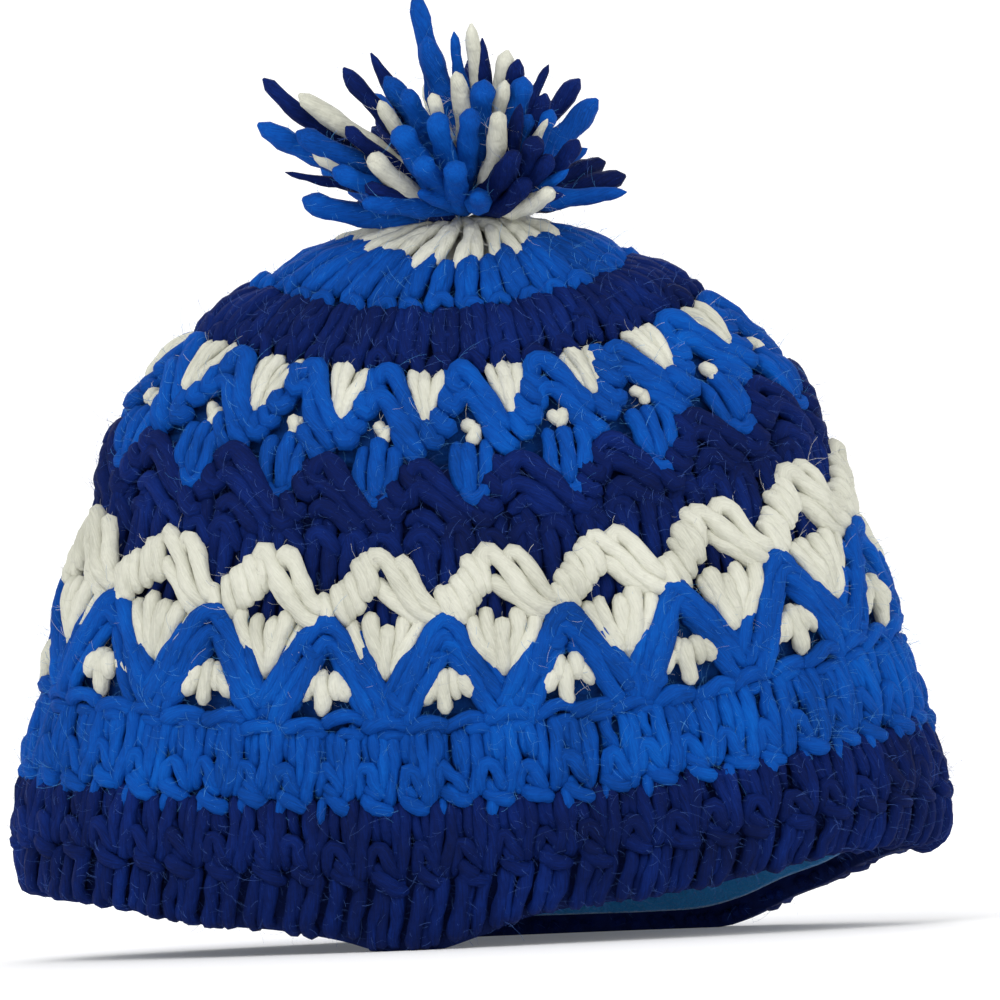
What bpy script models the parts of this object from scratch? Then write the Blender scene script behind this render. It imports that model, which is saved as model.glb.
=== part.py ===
"""A chunky crochet beanie with a fleece sweatband and a loose yarn pompom, resting on its rim.

Metres, +Z up, the front of the hat faces -Y. The origin is under the middle of the rim, on the
surface that the hat rests on.
"""

import math
import random

import bmesh
import bpy
import numpy as np
from mathutils import Matrix, Vector

# Overall sizes of the crocheted body
HAT_HEIGHT = 0.2076
RIM_HALF_WIDTH = 0.135
RIM_HALF_DEPTH = 0.0665
SIDE_RISE = 0.012
ROW_CLIMB = HAT_HEIGHT * 0.043
ROW_LEAN = HAT_HEIGHT * 0.022
HEM_LIFT = 0.0105
HEM_LIFT_HEIGHT = HAT_HEIGHT * 0.289
HEM_PRESS = 0.0008
HEM_SQUARE_HEIGHT = 0.020

# Crochet wall
WALL = 0.010
RIB_DEPTH = 0.0035
SEAM_CREST = 0.45
ROUND_GAP = 0.0005

# Heights at the middle of the front where one round of crochet gives way to the next
EDGE_TOP = HAT_HEIGHT * 0.0896
BRIM_TOP = HAT_HEIGHT * 0.2004
RIB_TOP = HAT_HEIGHT * 0.3035
ARCH_POINT_LOW = HAT_HEIGHT * 0.3709
ARCH_POINT_HIGH = HAT_HEIGHT * 0.4480
ZIGZAG_LOW = HAT_HEIGHT * 0.4899
ZIGZAG_HIGH = HAT_HEIGHT * 0.5520
MIDDLE_TOP = HAT_HEIGHT * 0.6647
LACE_TOP = HAT_HEIGHT * 0.7967
NAVY_TOP = HAT_HEIGHT * 0.8796
ROYAL_TOP = HAT_HEIGHT * 0.9441
CAP_SIDE_RISE = HAT_HEIGHT * 0.018

# Stitch counts once round the hat
RIM_RIBS = 54
NAVY_CROWN_RIBS = 42
ROYAL_CROWN_RIBS = 34
PATTERN_REPEATS = 17
PATTERN_PHASE = 0.27
CAP_COLUMNS = 34

# Fleece sweatband inside the rim
LINING_THICKNESS = 0.0025
LINING_CLEARANCE = 0.0006
LINING_LOW = HAT_HEIGHT * 0.0265
LINING_MIDDLE = HAT_HEIGHT * 0.1204
LINING_HIGH = HAT_HEIGHT * 0.2890

# Yarn pompom
POMPOM_OFFSET_X = 0.005
POMPOM_CORE_RADIUS = 0.0165
POMPOM_CORE_SQUASH = 0.80
TIE_HEIGHT = 0.0045
POMPOM_SEAT_GAP = 0.0003
LOCK_LENGTH = 0.050
LOCK_TIP_WIDTH = 0.65
LOCK_SWELL = 0.5
LOCK_STEPS = 3
LOCK_SWEEP = 0.35
LOCK_LOWEST_SLOPE = 0.02
LOCK_HIGHEST_SLOPE = 0.90

# One row for each section, bottom to top, as shares: of HAT_HEIGHT, RIM_HALF_WIDTH, RIM_HALF_DEPTH
# and SIDE_RISE, by which the two sides stand higher than the front and the back.
SECTION_COLUMNS = ("height", "width", "depth", "rise")
SECTIONS = (
    (0.000, 0.985, 0.910, 0.92),
    (0.100, 0.996, 0.965, 0.92),
    (0.200, 0.974, 1.000, 0.92),
    (0.320, 0.926, 1.000, 0.92),
    (0.443, 0.872, 0.975, 1.00),
    (0.555, 0.806, 0.912, 1.08),
    (0.667, 0.744, 0.790, 1.04),
    (0.734, 0.680, 0.690, 1.00),
    (0.800, 0.588, 0.582, 0.92),
    (0.845, 0.515, 0.503, 0.83),
    (0.882, 0.448, 0.433, 0.71),
    (0.918, 0.355, 0.350, 0.58),
    (0.947, 0.280, 0.275, 0.42),
    (0.976, 0.190, 0.190, 0.21),
    (0.992, 0.105, 0.110, 0.08),
    (1.000, 0.000, 0.000, 0.00),
)

# How far the hem curls up beyond the side rise: the angle round the rim from the front, to the
# wearer's left first, in degrees, and the share of HEM_LIFT.
HEM_COLUMNS = ("angle", "lift")
HEM = (
    (0, 0.42),
    (5, 0.80),
    (10, 0.98),
    (20, 1.10),
    (29, 1.20),
    (40, 1.42),
    (51, 1.56),
    (62, 1.42),
    (80, 1.24),
    (97, 1.12),
    (113, 1.05),
    (120, 0.95),
    (128, 0.60),
    (136, 0.34),
    (144, -0.10),
    (150, -0.28),
    (157, -0.22),
    (165, -0.10),
    (175, 0.00),
    (187, 0.00),
    (194, 0.14),
    (204, 0.48),
    (218, 0.54),
    (236, 0.80),
    (255, 0.90),
    (270, 0.95),
    (285, 0.93),
    (304, 0.88),
    (322, 0.58),
    (334, 0.52),
    (342, 0.28),
    (347, 0.00),
    (353, 0.00),
    (360, 0.42),
)

# Tips of the pompom's locks about its tie, as shares of LOCK_LENGTH: to the side and upwards. The
# tie is where the yarn is bound, at TIE_HEIGHT over the crown and low in the core.
# The depth follows from the lock's reach, which is its whole length as a share of LOCK_LENGTH.
LOCK_COLUMNS = ("side", "up", "reach")
FRONT_LOCKS = (
    (-1.16, 0.76, 1.42),
    (-1.20, 0.50, 1.34),
    (-1.06, 0.22, 1.12),
    (-0.96, 0.04, 1.02),
    (-0.68, 0.80, 1.10),
    (-0.30, 1.20, 1.24),
    (-0.22, 0.88, 0.98),
    (0.04, 0.92, 0.97),
    (0.26, 0.74, 0.90),
    (0.42, 0.56, 0.86),
    (0.54, 0.38, 0.84),
    (0.70, 0.14, 0.80),
    (-0.50, 0.48, 0.92),
    (-0.16, 0.58, 0.90),
    (0.14, 0.54, 0.88),
    (-0.58, 0.24, 0.84),
    (-0.18, 0.26, 0.80),
    (0.24, 0.24, 0.78),
    (0.02, 0.06, 0.70),
    (-0.40, 0.05, 0.72),
    (0.44, 0.05, 0.72),
    (-0.52, 0.92, 1.08),
    (-0.10, 1.00, 1.02),
    (0.14, 0.86, 0.92),
    (0.34, 0.66, 0.90),
    (-0.78, 0.62, 1.06),
    (-0.82, 0.38, 1.00),
    (0.62, 0.26, 0.84),
)
BACK_LOCKS = 26
BACK_LOCK_SEED = 7

# Yarn colours, as sRGB
ROYAL = (0.02, 0.33, 0.73)
NAVY = (0.03, 0.11, 0.42)
IVORY = (0.90, 0.89, 0.83)
FLEECE = (0.08, 0.46, 0.74)

PROFILE_SAMPLES = 400
SLOPE_STEP = 0.0015


def smooth_curve(xs, ys, x):
    """Values at x of a smooth curve through the points (xs, ys), with no overshoot at flat spots."""
    xs, ys = np.asarray(xs, float), np.asarray(ys, float)
    slopes = np.gradient(ys, xs)
    i = np.clip(np.searchsorted(xs, x) - 1, 0, len(xs) - 2)
    span = xs[i + 1] - xs[i]
    t = (np.asarray(x, float) - xs[i]) / span
    start, end = ys[i], ys[i + 1]
    pull_start, pull_end = slopes[i] * span, slopes[i + 1] * span
    return (
        (2 * t**3 - 3 * t**2 + 1) * start
        + (t**3 - 2 * t**2 + t) * pull_start
        + (3 * t**2 - 2 * t**3) * end
        + (t**3 - t**2) * pull_end
    )


def profile_rows():
    """The hat's sections sampled finely, as columns: length along the profile, height, half width,
    half depth and side rise."""
    table = np.array(SECTIONS)
    index = np.arange(len(table))
    fine = np.linspace(0, len(table) - 1, PROFILE_SAMPLES)
    scale = np.array([HAT_HEIGHT, RIM_HALF_WIDTH, RIM_HALF_DEPTH, SIDE_RISE])
    columns = [smooth_curve(index, table[:, k], fine) * scale[k] for k in range(4)]
    height, width, depth, rise = columns
    radius = (width + depth) / 2
    steps = np.hypot(np.diff(height), np.diff(radius))
    length = np.concatenate([[0], np.cumsum(steps)])
    return length, height, width, depth, rise


def ring_angles():
    """Shares of the way round the rim, and the angle of each, so that stitches are evenly spaced."""
    angles = np.linspace(0, 2 * math.pi, 721)
    x = RIM_HALF_WIDTH * np.sin(angles)
    y = RIM_HALF_DEPTH * np.cos(angles)
    shares = np.concatenate([[0], np.cumsum(np.hypot(np.diff(x), np.diff(y)))])
    return shares / shares[-1], angles


PROFILE = profile_rows()
RING = ring_angles()
PROFILE_LENGTH = PROFILE[0][-1]


def along_profile(height):
    """Length along the profile at a height on the middle of the front."""
    return np.interp(height, PROFILE[1], PROFILE[0])


def skin_point(angle, along):
    """Points on the hat's outer skin."""
    along = np.clip(along, 0, PROFILE_LENGTH)
    height, width, depth, rise = (np.interp(along, PROFILE[0], c) for c in PROFILE[1:])
    hem = np.array(HEM)
    lift = smooth_curve(hem[:, 0], hem[:, 1], np.degrees(angle) % 360) * HEM_LIFT
    fade = np.clip(1 - height / HEM_LIFT_HEIGHT, 0, 1) ** 2
    z = height + rise * np.sin(angle) ** 2 + lift * fade
    return np.stack([width * np.sin(angle), -depth * np.cos(angle), z], axis=-1)


def row_climb(angle, along):
    """How far the rows of yarn slide up the skin, most at the sides and half way up the hat."""
    across = np.sin(angle)
    return (ROW_CLIMB * across**2 + ROW_LEAN * across) * np.sin(math.pi * along / PROFILE_LENGTH)


def hat_point(share, along, inward):
    """Points at a share of the way round, a length up the profile and a depth under the skin."""
    share, along, inward = np.broadcast_arrays(share, along, inward)
    angle = np.interp(share % 1.0, *RING)
    along = along + row_climb(angle, along)
    turn = SLOPE_STEP / RIM_HALF_WIDTH
    low = np.clip(along - SLOPE_STEP, 0, PROFILE_LENGTH - 2 * SLOPE_STEP)
    across = skin_point(angle + turn, low + SLOPE_STEP) - skin_point(angle - turn, low + SLOPE_STEP)
    upward = skin_point(angle, low + 2 * SLOPE_STEP) - skin_point(angle, low)
    normal = np.cross(across, upward)
    normal[..., 2] *= np.clip(along / HEM_SQUARE_HEIGHT, 0, 1)
    normal /= np.linalg.norm(normal, axis=-1, keepdims=True)
    point = skin_point(angle, along) - normal * inward[..., None]
    point[..., 2] = np.maximum(point[..., 2] - HEM_PRESS, 0)
    return point


def zigzag(share, low, high, phase):
    """A height that swings between low and high once for each pattern repeat."""
    turn = (share * PATTERN_REPEATS - phase) % 1.0
    return low + (high - low) * np.abs(2 * turn - 1)


def material(name, srgb, roughness):
    """A matt yarn or fleece material."""
    made = bpy.data.materials.new(name)
    made.use_nodes = True
    shader = made.node_tree.nodes["Principled BSDF"]
    linear = [c / 12.92 if c <= 0.04045 else ((c + 0.055) / 1.055) ** 2.4 for c in srgb]
    shader.inputs["Base Color"].default_value = (*linear, 1.0)
    shader.inputs["Roughness"].default_value = roughness
    shader.inputs["Metallic"].default_value = 0.0
    return made


def add_object(name, mesh_builder, finish):
    """Turns a bmesh into a named object with one material."""
    mesh = bpy.data.meshes.new(name)
    bmesh.ops.recalc_face_normals(mesh_builder, faces=mesh_builder.faces)
    mesh_builder.to_mesh(mesh)
    mesh_builder.free()
    mesh.materials.append(finish)
    mesh.shade_smooth()
    obj = bpy.data.objects.new(name, mesh)
    bpy.context.scene.collection.objects.link(obj)
    return obj


def bridge(builder, lower, upper, from_inside=False):
    """Triangles between two closed rings of as many points each.

    from_inside turns the diagonals, so that two rounds meet on faces that are split the same way.
    """
    count = len(lower)
    for i in range(count):
        j = (i + 1) % count
        if from_inside:
            builder.faces.new((lower[i], lower[j], upper[i]))
            builder.faces.new((lower[j], upper[j], upper[i]))
        else:
            builder.faces.new((lower[i], lower[j], upper[j]))
            builder.faces.new((lower[i], upper[j], upper[i]))


def cap_ring(builder, ring, pole):
    """A fan of faces that closes a ring at a pole."""
    for i in range(len(ring)):
        builder.faces.new((ring[i], ring[(i + 1) % len(ring)], pole))


def add_ring(builder, points):
    """Adds a closed ring of points."""
    return [builder.verts.new(p) for p in points]


def crochet_round(name, columns, low, high, rows, ribbed, finish, inner_heights=()):
    """One round of crochet, a closed band of the hat's wall.

    low and high give the band's edges as heights for each share of the way round. rows holds pairs:
    the share of the band's height, and how far the yarn stands out there, from 0 in a groove to 1.
    On a ribbed round every second column is a groove between two stitches. inner_heights are the
    heights, top to bottom, at which the inner face bends with the profile or the sweatband.
    """
    shares = np.arange(columns) / columns
    bottom = along_profile(low(shares)) + ROUND_GAP / 2
    top = along_profile(high(shares)) - ROUND_GAP / 2
    grooved = (np.arange(columns) % 2 == 1) if ribbed else np.zeros(columns, bool)
    builder = bmesh.new()
    rings = []
    for up, crest in rows:
        inward = RIB_DEPTH * (1 - np.where(grooved, 0.0, crest))
        rings.append(add_ring(builder, hat_point(shares, bottom + (top - bottom) * up, inward)))
    for edge in (top, *(along_profile(h) for h in inner_heights), bottom):
        rings.append(add_ring(builder, hat_point(shares, edge, WALL)))
    for lower, upper in zip(rings, rings[1:]):
        bridge(builder, lower, upper)
    bridge(builder, rings[-1], rings[0], from_inside=True)
    return add_object(name, builder, finish)


def crown_seam(share):
    """The seam between the royal crown round and the cap, which rises at the sides."""
    return ROYAL_TOP + CAP_SIDE_RISE * np.sin(np.interp(share % 1.0, *RING)) ** 2


def level(height):
    """An edge of a round that keeps one height."""
    return lambda share: np.full_like(share, height)


def make_rim_rounds(royal, navy):
    """The navy brim, with its edge and its ribs, and the royal ribs over it."""
    edge = EDGE_TOP / BRIM_TOP
    brim_rows = (
        (0.0, 0.5),
        (edge * 0.45, 0.9),
        (edge, 0.2),
        (edge + (1 - edge) * 0.35, 1.0),
        (edge + (1 - edge) * 0.80, 1.0),
        (1.0, 0.3),
    )
    rib_rows = ((0.0, 0.3), (0.25, 1.0), (0.75, 1.0), (1.0, 0.3))
    columns = 2 * RIM_RIBS
    brim = ("navy_brim", columns, level(0.0), level(BRIM_TOP), brim_rows, True, navy)
    ribs = ("royal_rib_round", columns, level(BRIM_TOP), level(RIB_TOP), rib_rows, True, royal)
    crochet_round(*brim, inner_heights=(LINING_MIDDLE, LINING_LOW))
    crochet_round(*ribs, inner_heights=(LINING_HIGH,))


def make_pattern_rounds(royal, navy, ivory):
    """The arches, the zigzag, the navy ground over it and the lace of the upper arches."""

    def arch_points(share):
        return zigzag(share, ARCH_POINT_LOW, ARCH_POINT_HIGH, PATTERN_PHASE + 0.5)

    def zigzag_points(share):
        return zigzag(share, ZIGZAG_LOW, ZIGZAG_HIGH, PATTERN_PHASE)

    columns = 4 * PATTERN_REPEATS
    arch_rows = ((0.0, 0.3), (0.45, 0.6), (0.85, 1.0), (1.0, SEAM_CREST))
    zigzag_rows = ((0.0, SEAM_CREST), (0.35, 0.6), (0.6, 0.5), (0.82, 1.0), (1.0, SEAM_CREST))
    ground_rows = ((0.0, SEAM_CREST), (0.3, 0.4), (0.75, 0.8), (1.0, 0.4))
    lace_rows = ((0.0, 0.4), (0.25, 0.9), (0.5, 0.7), (0.8, 1.0), (1.0, 0.3))
    zigzag_bend = ((ARCH_POINT_HIGH + ZIGZAG_LOW) / 2,)
    middle_bend = ((ZIGZAG_HIGH + MIDDLE_TOP) / 2,)
    rounds = (
        ("royal_arch_round", level(RIB_TOP), arch_points, arch_rows, (), royal),
        ("ivory_zigzag_round", arch_points, zigzag_points, zigzag_rows, zigzag_bend, ivory),
        ("navy_middle_round", zigzag_points, level(MIDDLE_TOP), ground_rows, middle_bend, navy),
        ("royal_lace_round", level(MIDDLE_TOP), level(LACE_TOP), lace_rows, (), royal),
    )
    for name, low, high, rows, bends, finish in rounds:
        crochet_round(name, columns, low, high, rows, False, finish, inner_heights=bends)


def make_crown_rounds(royal, navy):
    """The two ribbed rounds that close in towards the crown."""
    rib_rows = ((0.0, 0.3), (0.25, 1.0), (0.75, 1.0), (1.0, 0.3))
    navy_columns, royal_columns = 2 * NAVY_CROWN_RIBS, 2 * ROYAL_CROWN_RIBS
    low, seam = level(LACE_TOP), level(NAVY_TOP)
    crochet_round("navy_crown_round", navy_columns, low, seam, rib_rows, True, navy)
    crochet_round("royal_crown_round", royal_columns, seam, crown_seam, rib_rows, True, royal)


def make_crown_cap(ivory):
    """The ivory rounds that close the crown under the pompom."""
    shares = np.arange(CAP_COLUMNS) / CAP_COLUMNS
    bottom = along_profile(crown_seam(shares)) + ROUND_GAP / 2
    builder = bmesh.new()
    outer_rows = ((0.0, 0.3), (0.25, 0.8), (0.6, 0.9), (0.85, 1.0))
    outer = []
    for up, crest in outer_rows:
        along = bottom + (PROFILE_LENGTH - bottom) * up
        outer.append(add_ring(builder, hat_point(shares, along, RIB_DEPTH * (1 - crest))))
    inner = add_ring(builder, hat_point(shares, bottom, WALL))
    top = skin_point(0.0, PROFILE_LENGTH)
    outer_pole = builder.verts.new(top - np.array([0, 0, HEM_PRESS]))
    inner_pole = builder.verts.new(top - np.array([0, 0, HEM_PRESS + WALL]))
    for lower, upper in zip(outer, outer[1:]):
        bridge(builder, lower, upper)
    bridge(builder, inner, outer[0])
    cap_ring(builder, outer[-1], outer_pole)
    cap_ring(builder, inner, inner_pole)
    return add_object("ivory_crown_cap", builder, ivory)


def make_lining(fleece):
    """The fleece sweatband, a thin band inside the rim."""
    shares = np.arange(RIM_RIBS) / RIM_RIBS
    heights = (LINING_LOW, LINING_MIDDLE, BRIM_TOP, LINING_HIGH)
    outside = WALL + LINING_CLEARANCE
    inside = outside + LINING_THICKNESS
    builder = bmesh.new()
    rings = [add_ring(builder, hat_point(shares, along_profile(h), outside)) for h in heights]
    for h in reversed(heights):
        rings.append(add_ring(builder, hat_point(shares, along_profile(h), inside)))
    for lower, upper in zip(rings, rings[1:] + rings[:1]):
        bridge(builder, lower, upper)
    return add_object("fleece_sweatband", builder, fleece)


def lock_tips():
    """The tips of all the pompom's locks about its tie, in metres."""
    tips = []
    for side, up, reach in FRONT_LOCKS:
        depth = math.sqrt(max(reach**2 - side**2 - up**2, 0.0))
        tips.append(Vector((side, -depth, up)) * LOCK_LENGTH)
    draw = random.Random(BACK_LOCK_SEED)
    golden = math.pi * (3 - math.sqrt(5))
    for k in range(BACK_LOCKS):
        slope = LOCK_LOWEST_SLOPE + (LOCK_HIGHEST_SLOPE - LOCK_LOWEST_SLOPE) * (k + 0.5) / BACK_LOCKS
        turn = math.pi * ((k * golden / math.pi) % 1.0)
        flat = math.sqrt(1 - slope**2)
        reach = LOCK_LENGTH * draw.uniform(0.85, 1.05)
        tips.append(Vector((flat * math.cos(turn), flat * math.sin(turn), slope)) * reach)
    return tips


def grow_lock(builder, face, tip):
    """Draws one face of the pompom's core out into a tapering lock that sweeps to its tip."""
    inset = bmesh.ops.inset_individual(builder, faces=[face], thickness=POMPOM_CORE_RADIUS * 0.06)
    face = face if face.is_valid else inset["faces"][0]
    start = face.calc_center_median()
    heading = face.normal.copy()
    shape = [v.co - start for v in face.verts]
    reach = (tip - start).length
    bend = start + heading * reach * LOCK_SWEEP
    for step in range(1, LOCK_STEPS + 1):
        t = step / LOCK_STEPS
        centre = start * (1 - t) ** 2 + bend * 2 * t * (1 - t) + tip * t**2
        tangent = ((bend - start) * (1 - t) + (tip - bend) * t).normalized()
        turned = heading.rotation_difference(tangent)
        width = 1 - (1 - LOCK_TIP_WIDTH) * t**2 + LOCK_SWELL * t * (1 - t)
        face = bmesh.ops.extrude_discrete_faces(builder, faces=[face])["faces"][0]
        for vert, offset in zip(face.verts, shape):
            vert.co = centre + turned @ offset * width


def make_pompom(royal):
    """The pompom: locks of yarn that fan out of a tied core on the crown."""
    core_height = POMPOM_SEAT_GAP + POMPOM_CORE_RADIUS * POMPOM_CORE_SQUASH
    tie = Vector((0, 0, TIE_HEIGHT - core_height))
    builder = bmesh.new()
    bmesh.ops.create_icosphere(builder, subdivisions=2, radius=POMPOM_CORE_RADIUS)
    squash = Matrix.Diagonal((1, 1, POMPOM_CORE_SQUASH, 1))
    bmesh.ops.transform(builder, matrix=squash, verts=builder.verts)
    builder.faces.ensure_lookup_table()
    builder.normal_update()
    free = list(builder.faces)
    for tip in sorted((t + tie for t in lock_tips()), key=lambda t: -t.normalized().z):
        face = max(free, key=lambda f: f.calc_center_median().normalized().dot(tip.normalized()))
        free.remove(face)
        grow_lock(builder, face, tip)
    crown = skin_point(0.0, PROFILE_LENGTH)[2] - HEM_PRESS
    lift = crown + core_height
    bmesh.ops.translate(builder, vec=(POMPOM_OFFSET_X, 0, lift), verts=builder.verts)
    return add_object("yarn_pompom", builder, royal)


def main():
    for obj in list(bpy.data.objects):
        bpy.data.objects.remove(obj)
    royal = material("royal blue wool", ROYAL, 0.85)
    navy = material("navy blue wool", NAVY, 0.85)
    ivory = material("ivory wool", IVORY, 0.85)
    fleece = material("blue fleece", FLEECE, 0.9)
    make_rim_rounds(royal, navy)
    make_pattern_rounds(royal, navy, ivory)
    make_crown_rounds(royal, navy)
    make_crown_cap(ivory)
    make_lining(fleece)
    make_pompom(royal)


main()
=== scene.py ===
"""A chunky crochet beanie in blue and ivory wool, stitched strand by strand over its CAD solids."""

import logging
import math
import random
from collections.abc import Callable, Iterable, Sequence
from dataclasses import dataclass, field
from enum import Enum

import bpy
import numpy as np
from mathutils import Matrix, Vector


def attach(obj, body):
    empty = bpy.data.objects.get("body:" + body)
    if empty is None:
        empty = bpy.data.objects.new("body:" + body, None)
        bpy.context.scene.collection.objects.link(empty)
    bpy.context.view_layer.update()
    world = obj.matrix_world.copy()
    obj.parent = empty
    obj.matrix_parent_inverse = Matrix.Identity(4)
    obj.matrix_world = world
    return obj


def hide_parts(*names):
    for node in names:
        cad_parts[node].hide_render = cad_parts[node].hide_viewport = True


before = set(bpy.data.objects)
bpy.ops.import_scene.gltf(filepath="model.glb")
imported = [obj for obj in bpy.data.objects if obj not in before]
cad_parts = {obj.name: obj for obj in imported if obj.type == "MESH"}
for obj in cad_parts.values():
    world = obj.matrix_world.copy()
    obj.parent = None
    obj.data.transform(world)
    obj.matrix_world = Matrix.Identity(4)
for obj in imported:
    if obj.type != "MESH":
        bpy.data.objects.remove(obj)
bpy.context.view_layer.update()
LOG = logging.getLogger("beanie")
MM = 0.001
PATTERN_REPEATS = 17
PATTERN_PHASE = 0.27
LACE_REPEATS = 18
LACE_PHASE = 0.07
RIM_STITCHES = 54
GROUND_COLUMNS = 216

# The seams between the rounds, as heights on the middle of the front
HAT_HEIGHT = 0.2076
EDGE_TOP = 0.0186
BRIM_TOP = 0.0416
RIB_TOP = 0.0630
ARCH_POINTS = (0.0770, 0.0930)
ZIGZAG_POINTS = (0.1017, 0.1146)
MIDDLE_TOP = 0.1380
LACE_TOP = 0.1654
NAVY_TOP = 0.1826
ROYAL_TOP = 0.1960
CAP_SIDE_RISE = 0.0037

Path = tuple[tuple[float, float, float], ...]


class Yarn(Enum):
    """The wools that the hat is worked in."""

    ROYAL = "royal"
    NAVY = "navy"
    IVORY = "ivory"


def linear(code: str) -> tuple[float, float, float, float]:
    """Turns an sRGB hex colour to linear values.

    Args:
        code: Six hex digits, such as "0A55B5".

    Returns:
        Linear red, green and blue, and an alpha of one.
    """
    parts = [int(code[i : i + 2], 16) / 255 for i in (0, 2, 4)]
    r, g, b = (c / 12.92 if c <= 0.04045 else ((c + 0.055) / 1.055) ** 2.4 for c in parts)
    return (r, g, b, 1.0)


def add_node(tree: bpy.types.NodeTree, kind: str, inputs: dict | None = None, **settings) -> bpy.types.Node:
    """Adds a node with its settings and links.

    Args:
        tree: The tree that gets the node.
        kind: The node's type.
        inputs: Values or output sockets, by the input's name or number.
        **settings: The node's own properties.

    Returns:
        The new node.
    """
    node = tree.nodes.new(kind)
    for name, value in settings.items():
        setattr(node, name, value)
    for key, value in (inputs or {}).items():
        if isinstance(value, bpy.types.NodeSocket):
            tree.links.new(value, node.inputs[key])
        else:
            node.inputs[key].default_value = value
    return node


def new_material(name: str) -> tuple[bpy.types.Material, bpy.types.NodeTree, bpy.types.Node]:
    """Starts a material.

    Args:
        name: The finish's name.

    Returns:
        The material, its node tree and its main shader.
    """
    material = bpy.data.materials.new(name)
    material.use_nodes = True
    return material, material.node_tree, material.node_tree.nodes["Principled BSDF"]


def new_tree(name: str, inputs: dict[str, str]) -> bpy.types.NodeTree:
    """Starts a geometry node tree.

    Args:
        name: The tree's name.
        inputs: The kind of each input that follows the geometry, by its name.

    Returns:
        The tree, with its sockets and no nodes.
    """
    tree = bpy.data.node_groups.new(name, "GeometryNodeTree")
    tree.is_modifier = True
    for socket, kind in {"Geometry": "Geometry", **inputs}.items():
        tree.interface.new_socket(socket, in_out="INPUT", socket_type="NodeSocket" + kind)
    tree.interface.new_socket("Geometry", in_out="OUTPUT", socket_type="NodeSocketGeometry")
    return tree


def new_object(name: str, data: bpy.types.ID) -> bpy.types.Object:
    """Adds an object to the scene, at the origin."""
    made = bpy.data.objects.new(name, data)
    bpy.context.scene.collection.objects.link(made)
    return made


def stand_for(pieces: Iterable[bpy.types.Object], node: str) -> None:
    """Hides a solid, whose place the pieces take.

    Args:
        pieces: The new pieces.
        node: The solid's name.
    """
    for piece in pieces:
        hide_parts(node)


def smooth_curve(xs: Sequence[float], ys: Sequence[float], x: np.ndarray) -> np.ndarray:
    """Reads a smooth curve through given points.

    Args:
        xs: Places of the points, rising.
        ys: Values at the points.
        x: Where to read the curve.

    Returns:
        The curve's values at x.
    """
    xs, ys = np.asarray(xs, float), np.asarray(ys, float)
    slopes = np.gradient(ys, xs)
    i = np.clip(np.searchsorted(xs, x) - 1, 0, len(xs) - 2)
    span = xs[i + 1] - xs[i]
    t = (np.asarray(x, float) - xs[i]) / span
    return (
        (2 * t**3 - 3 * t**2 + 1) * ys[i]
        + (t**3 - 2 * t**2 + t) * slopes[i] * span
        + (3 * t**2 - 2 * t**3) * ys[i + 1]
        + (t**3 - t**2) * slopes[i + 1] * span
    )


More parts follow.
